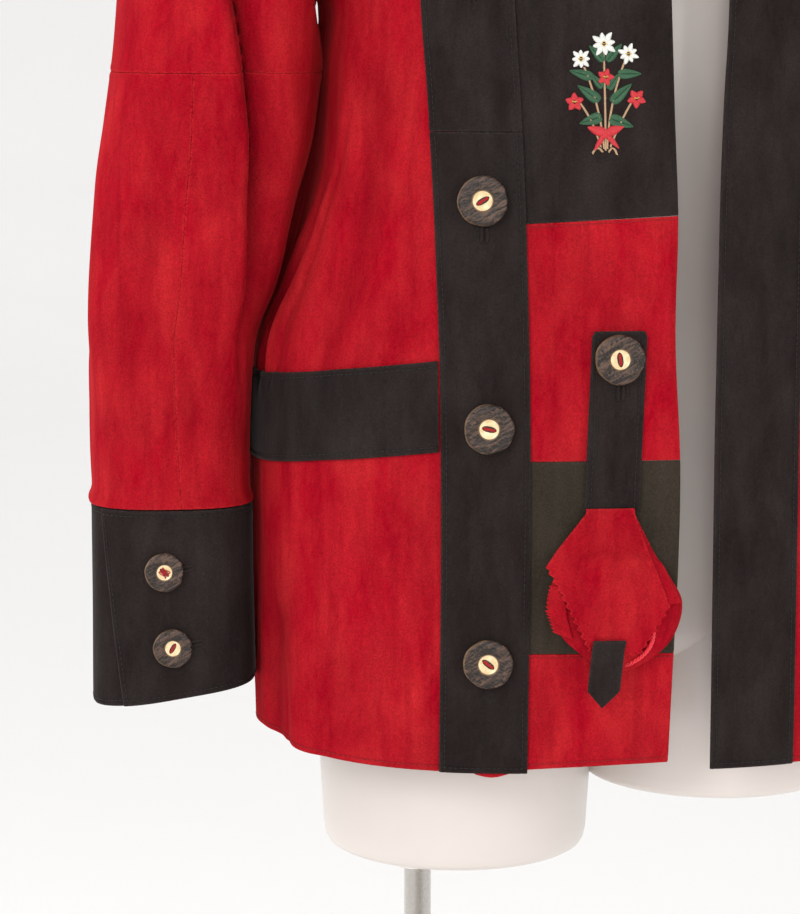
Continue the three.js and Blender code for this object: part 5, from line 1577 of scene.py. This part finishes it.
class JACKET_OT_plastron(bpy.types.Operator):
    """Build the four blocks of the plastron and the buttoned strap"""
    bl_idname = "jacket.plastron"
    bl_label = "Plastron and strap"

    def execute(self, context):
        for index, (name, low, _, suede) in enumerate(BLOCKS):
            last = index + 1 == len(BLOCKS)
            top = round(float(level_of(PLASTRON_TOP_H)[0])) if last else BLOCKS[index + 1][1]
            edges = {"right": "turned", "low": "seam" if index else "stitched",
                     "high": "turned" if last else "seam"}
            shell(f"{name}_cloth", name, block_sample(index), spaced(PLASTRON_ROUND, 2.8, False, True),
                  spaced(top - low, 3.0), 0, CLOTH, paint(suede), edges)
        edges = {"left": "stitched", "right": "stitched", "low": "turned", "high": "turned"}
        shell("strap_cloth", "strap", strap_sample, spaced(STRAP_W, 2.2), spaced(STRAP_DOWN, 2.4),
              CLOTH + LAP, STRAP_OUT, paint("black"), edges)
        return {"FINISHED"}


class JACKET_OT_pouch(bpy.types.Operator):
    """Build the gathered pouch with its pinked flap, frills, tab and cord"""
    bl_idname = "jacket.pouch"
    bl_label = "Pouch"

    def execute(self, context):
        red, black = paint("red"), paint("black")
        points, faces, values = bag_mesh()
        bag = mesh_object("pouch_bag_cloth", points, faces, red, None, values)
        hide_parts("pouch_bag")
        cut = {"left": "cut", "right": "cut", "low": "cut", "high": "turned"}
        shell("pouch_flap_cloth", "pouch_flap", flap_sample, np.linspace(0, 1, 61), np.linspace(0, 1, 190),
              0, FLAP_T, red, cut)
        for name, a, b, c, d, pinked, (wide, long, area) in FRILLS:
            shell(name, None, frill_sample(a, b, c, d, pinked), np.linspace(0, 1, 13),
                  np.linspace(0, 1, 61), 0, FRILL_T, red, {"right": "cut"})
        edges = {"left": "turned", "right": "turned", "high": "turned"}
        shell("pouch_tab_cloth", "pouch_tab", tab_sample, spaced(TAB_W, 1.6), spaced(TAB_LENGTH, 1.4),
              0, TAB_T, black, edges)
        self.twisted_cord()
        return {"FINISHED"}

    def twisted_cord(self):
        """Three plies laid round a short bend; both ends go in under the flap."""
        t = np.linspace(0, 1, 60)[:, None]
        a, b, c = (np.array(p, float) for p in CORD_BEND)
        spot = a * (1 - t) ** 2 + 2 * b * t * (1 - t) + c * t * t
        h = height_level(spot[:, 1])
        points, normals = body_at(spot[:, 0], h)
        tuck = 4.0 * (1 - np.sin(np.pi * t[:, 0]) ** 0.35)
        lift = flap_lift(spot[:, 0], spot[:, 1]) - FLAP_CLEAR + 1.2 - tuck
        line = points + normals * lift[:, None]
        ahead = np.gradient(line, axis=0)
        ahead /= np.linalg.norm(ahead, axis=1, keepdims=True)
        side = np.cross(ahead, normals)
        turn = t[:, 0] * 2 * math.pi * CORD_TURNS
        plies = []
        for k in range(CORD_PLIES):
            phase = turn + k * 2 * math.pi / CORD_PLIES
            off = np.cos(phase)[:, None] * side + np.sin(phase)[:, None] * normals
            plies.append(line + CORD_PLY_OFF * off)
        spots, sheets = rods(plies, [normals] * CORD_PLIES, CORD_PLY_R, 1.0, 8)
        mesh_object("pouch_cord_trim", spots, sheets, paint("cord red"))


class JACKET_OT_sleeves(bpy.types.Operator):
    """Build both sleeves and cuffs"""
    bl_idname = "jacket.sleeves"
    bl_label = "Sleeves and cuffs"

    def execute(self, context):
        red = paint("red")
        for side, hand, coarse in ((-1, "right", RIGHT_SLEEVE_PITCH), (1, "left", LEFT_SLEEVE_PITCH)):
            gap = pitch() * coarse
            ring = np.linspace(0, 1, int(SLEEVE_ROUND / gap) + 1)
            top = sleeve_sample(side, lambda u, v: u * 360, lambda v: v * 0.9996)
            shell(f"{hand}_sleeve_top_cloth", f"{hand}_sleeve_top", top, ring,
                  spaced(SLEEVE_TOP_DOWN, gap * 1.2), 0, CLOTH, red,
                  {"low": "seam", "high": "seam"}, True)
            for part, start, end, length in (
                ("under", FRONT_SEAM, BACK_SEAM, 200), ("outer", BACK_SEAM, FRONT_SEAM, 190),
            ):
                sample = sleeve_sample(side, part_angle(start, end), lambda v: 1.0004 + 0.9976 * v)
                edges = {"left": "seam", "right": "seam", "low": "seam", "high": "seam"}
                shell(f"{hand}_sleeve_{part}_cloth", f"{hand}_sleeve_{part}", sample, spaced(length, gap),
                      spaced(SLEEVE_PART_DOWN, gap * 1.2), 0, CLOTH, red, edges, False,
                      self.rolled_out)
            edges = {"left": "turned", "right": "stitched", "low": "stitched", "high": "stitched"}
            shell(f"{hand}_cuff_cloth", f"{hand}_cuff", cuff_sample(side), spaced(CUFF_ROUND, gap),
                  spaced(CUFF_DEEP, 2.8), 0, CLOTH, paint("black"), edges)
        return {"FINISHED"}

    @staticmethod
    def rolled_out(away):
        """The lower edge of the sleeve swells out to the face of the cuff."""
        return ROLL_RISE * np.exp(-(away["high"] / ROLL_REACH) ** 2)


class JACKET_OT_buttons(bpy.types.Operator):
    """Set the horn buttons and the buttonholes that show"""
    bl_idname = "jacket.buttons"
    bl_label = "Buttons and buttonholes"

    def execute(self, context):
        wobble = 0.7
        for name, z, turn in BAND_BUTTONS:
            h = float(height_level(z))
            x = BAND_BUTTON_IN - float(band_middle(h))
            points, normals = body_at(np.array([x]), np.array([h]))
            lift = BAND_TOP + LAP + (BAND_EASE if h > 1 else 0)
            make_button(f"{name}_horn", points[0] + normals[0] * lift, normals[0], turn, wobble)
            wobble += 1.9
            if name in HOLES_IN_VIEW:
                self.hole(name, x + 0.5, z - BUTTON_R - 9.5, BAND_TOP, 10.5)
        z = STRAP_BUTTON_Z
        points, normals = body_at(np.array([strap_middle(z)]), height_level(np.array([z])))
        at = points[0] + normals[0] * (STRAP_OUT + LAP)
        make_button("strap_button_horn", at, normals[0], STRAP_BUTTON_TURN, wobble)
        self.hole("strap_button", strap_middle(z) + 1.0, z - BUTTON_R - 10, STRAP_OUT, 11)
        for side, hand in ((-1, "right"), (1, "left")):
            for place, z, angle, turn in CUFF_BUTTONS:
                v = (z - CUFF_END) / (CUFF_TOP - CUFF_GAP - CUFF_END)
                u = 1 - (angle - CUFF_EDGE - CUFF_SLANT * (0.5 - v)) / (360 + CUFF_LAP)
                sample = cuff_sample(side)
                points, normals, _ = sample(np.array([u]), np.array([v]))
                at = points[0] + normals[0] * (CLOTH + LAP)
                wobble += 1.3
                strands = MENDED if (hand, place) == ("right", "upper") else STRANDS
                make_button(f"{hand}_cuff_button_{place}_horn", at, normals[0], turn, wobble,
                            CUFF_BUTTON_SIZE, strands)
                far, ups, _ = sample(np.array([u - CUFF_HOLE_AWAY]), np.array([v + CUFF_HOLE_UP]))
                inward = points[0] - far[0]
                inward -= ups[0] * np.dot(inward, ups[0])
                inward /= np.linalg.norm(inward)
                start = far[0] + ups[0] * (CLOTH - 0.1)
                bound_hole(f"{hand}_cuff_hole_{place}", start, ups[0], -inward, -10.0, 1.0)
        return {"FINISHED"}

    def hole(self, name, x, z, lift, length):
        """An upright buttonhole on the front, from its upper end down."""
        points, normals = body_at(np.array([x]), height_level(np.array([float(z)])))
        up = np.array([0, 0, 1.0])
        up -= normals[0] * np.dot(up, normals[0])
        up /= np.linalg.norm(up)
        start = points[0] + normals[0] * lift + up * length
        bound_hole(f"{name}_hole", start, normals[0], -up, length, 1.2)


class JACKET_OT_stitching(bpy.types.Operator):
    """Sew the topstitching along the edges"""
    bl_idname = "jacket.stitching"
    bl_label = "Topstitching"

    def execute(self, context):
        inset = sizes().stitch_in / MM
        period, length = sizes().stitch_period / MM, sizes().stitch_length / MM
        rows = {
            "right_band_stitches": [("right_band_lower_cloth", e) for e in ("left", "right", "low")]
            + [("right_band_upper_cloth", e) for e in ("left", "right")],
            "left_band_stitches": [("left_band_cloth", e) for e in ("left", "right", "low")],
            "neck_band_stitches": [("neck_band_cloth", "low")],
            "pocket_band_stitches": [("pocket_band_cloth", e) for e in ("low", "high")],
            "strap_stitches": [("strap_cloth", e) for e in ("left", "right")],
            "right_cuff_stitches": [("right_cuff_cloth", e) for e in ("right", "low", "high")],
            "left_cuff_stitches": [("left_cuff_cloth", e) for e in ("right", "low", "high")],
        }
        for name, lines in rows.items():
            made = [line_on(piece, edge, inset, 0.25, 2.0, 2.0) for piece, edge in lines]
            stitches(name, made, paint("black thread"), period, length)
        hems = ["right_front_cloth", "left_front_cloth", "back_cloth", "plastron_hem_block_cloth"]
        made = [line_on(piece, "low", inset, 0.25, 2.0, 2.0) for piece in hems]
        stitches("hem_stitches", made, paint("red thread"), period, length)
        made = [line_on(f"plastron_{part}_cloth", "high", 1.9, 0.12, 28.0, 1.5)
                for part in ("red_block", "hem_block")]
        stitches("plastron_seam_stitches", made, paint("red thread"), period * 0.8, length * 0.75, 0.34)
        return {"FINISHED"}


class JACKET_OT_embroidery(bpy.types.Operator):
    """Embroider a generic alpine posy on the plastron's black block"""
    bl_idname = "jacket.embroidery"
    bl_label = "Embroidered posy"

    def execute(self, context):
        heights = {"tan": 0.05, "green": 0.15, "red": 0.4, "white": 0.45, "gold": 0.95}
        for name, threads in posy():
            embroider(f"posy_{name}_silk", threads, f"{name} silk", heights[name])
        return {"FINISHED"}


class JACKET_OT_stage(bpy.types.Operator):
    """Set the floor, the lights and the camera"""
    bl_idname = "jacket.stage"
    bl_label = "Stage"

    def execute(self, context):
        scene = context.scene
        self.backdrop()
        self.camera(scene)
        world = bpy.data.worlds.new("studio")
        world.use_nodes = True
        surround = world.node_tree.nodes["Background"]
        surround.inputs["Color"].default_value = (*SURROUND, 1)
        surround.inputs["Strength"].default_value = 1.0
        scene.world = world
        scene.view_settings.view_transform = "Standard"
        for light in LIGHTS:
            self.area_light(scene, *light)
        return {"FINISHED"}

    def backdrop(self):
        """A pale floor that sweeps up far behind."""
        points = [(x, y, z) for y, z in SWEEP for x in (-SWEEP_HALF, SWEEP_HALF)]
        faces = [(2 * k, 2 * k + 1, 2 * k + 3, 2 * k + 2) for k in range(len(SWEEP) - 1)]
        mesh = bpy.data.meshes.new("floor_sweep")
        mesh.from_pydata(points, [], faces)
        mesh.polygons.foreach_set("use_smooth", [True] * len(faces))
        mesh.materials.append(paint("paper"))
        floor = bpy.data.objects.new("floor_sweep", mesh)
        bpy.context.scene.collection.objects.link(floor)

    def camera(self, scene):
        """The camera, level with the waist and a little to the wearer's right."""
        azimuth, down = math.radians(EYE_AZIMUTH), math.radians(EYE_DOWN)
        ahead = math.cos(down)
        look = Vector((-math.sin(azimuth) * ahead, math.cos(azimuth) * ahead, -math.sin(down)))
        data = bpy.data.cameras.new("camera")
        data.lens, data.sensor_width, data.sensor_fit = LENS, SENSOR, "AUTO"
        camera = bpy.data.objects.new("camera", data)
        camera.location = Vector(AIM) - look * EYE_AWAY
        camera.rotation_euler = look.to_track_quat("-Z", "Y").to_euler()
        scene.collection.objects.link(camera)
        scene.camera = camera

    def area_light(self, scene, name, place, size, power, colour):
        """A round lamp that faces the jacket."""
        data = bpy.data.lights.new(name, "AREA")
        data.shape, data.size, data.energy, data.color = "DISK", size, power, colour
        light = bpy.data.objects.new(name, data)
        light.location = place
        light.rotation_euler = (Vector(LIT_SPOT) - Vector(place)).to_track_quat("-Z", "Y").to_euler()
        scene.collection.objects.link(light)


OPERATORS = (
    JACKET_OT_stage,
    JACKET_OT_form,
    JACKET_OT_body,
    JACKET_OT_bands,
    JACKET_OT_plastron,
    JACKET_OT_pouch,
    JACKET_OT_sleeves,
    JACKET_OT_buttons,
    JACKET_OT_stitching,
    JACKET_OT_embroidery,
)


class JACKET_PT_panel(bpy.types.Panel):
    """Lists the jacket's sizes, colours and steps"""
    bl_idname = "JACKET_PT_panel"
    bl_label = "Suede Jacket"
    bl_space_type = "VIEW_3D"
    bl_region_type = "UI"
    bl_category = "Jacket"

    def draw(self, context):
        """Every size and colour, then a button for each step."""
        layout = self.layout
        for group in (context.scene.jacket_sizes, context.scene.jacket_colours):
            for key in group.__annotations__:
                layout.prop(group, key)
        for operator in OPERATORS:
            layout.operator(operator.bl_idname)


CLASSES = (JACKET_PG_colours, JACKET_PG_sizes, *OPERATORS, JACKET_PT_panel)


def register():
    """Adds the add-on's classes and its two groups of settings."""
    for cls in CLASSES:
        bpy.utils.register_class(cls)
    bpy.types.Scene.jacket_colours = PointerProperty(type=JACKET_PG_colours)
    bpy.types.Scene.jacket_sizes = PointerProperty(type=JACKET_PG_sizes)


def unregister():
    """Takes them out again."""
    del bpy.types.Scene.jacket_sizes
    del bpy.types.Scene.jacket_colours
    for cls in reversed(CLASSES):
        bpy.utils.unregister_class(cls)


def main():
    """Registers the add-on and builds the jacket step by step."""
    register()
    for operator in OPERATORS:
        group, name = operator.bl_idname.split(".")
        if getattr(getattr(bpy.ops, group), name)() != {"FINISHED"}:
            raise RuntimeError(f"{operator.bl_label} did not finish")


if __name__ == "__main__":
    main()
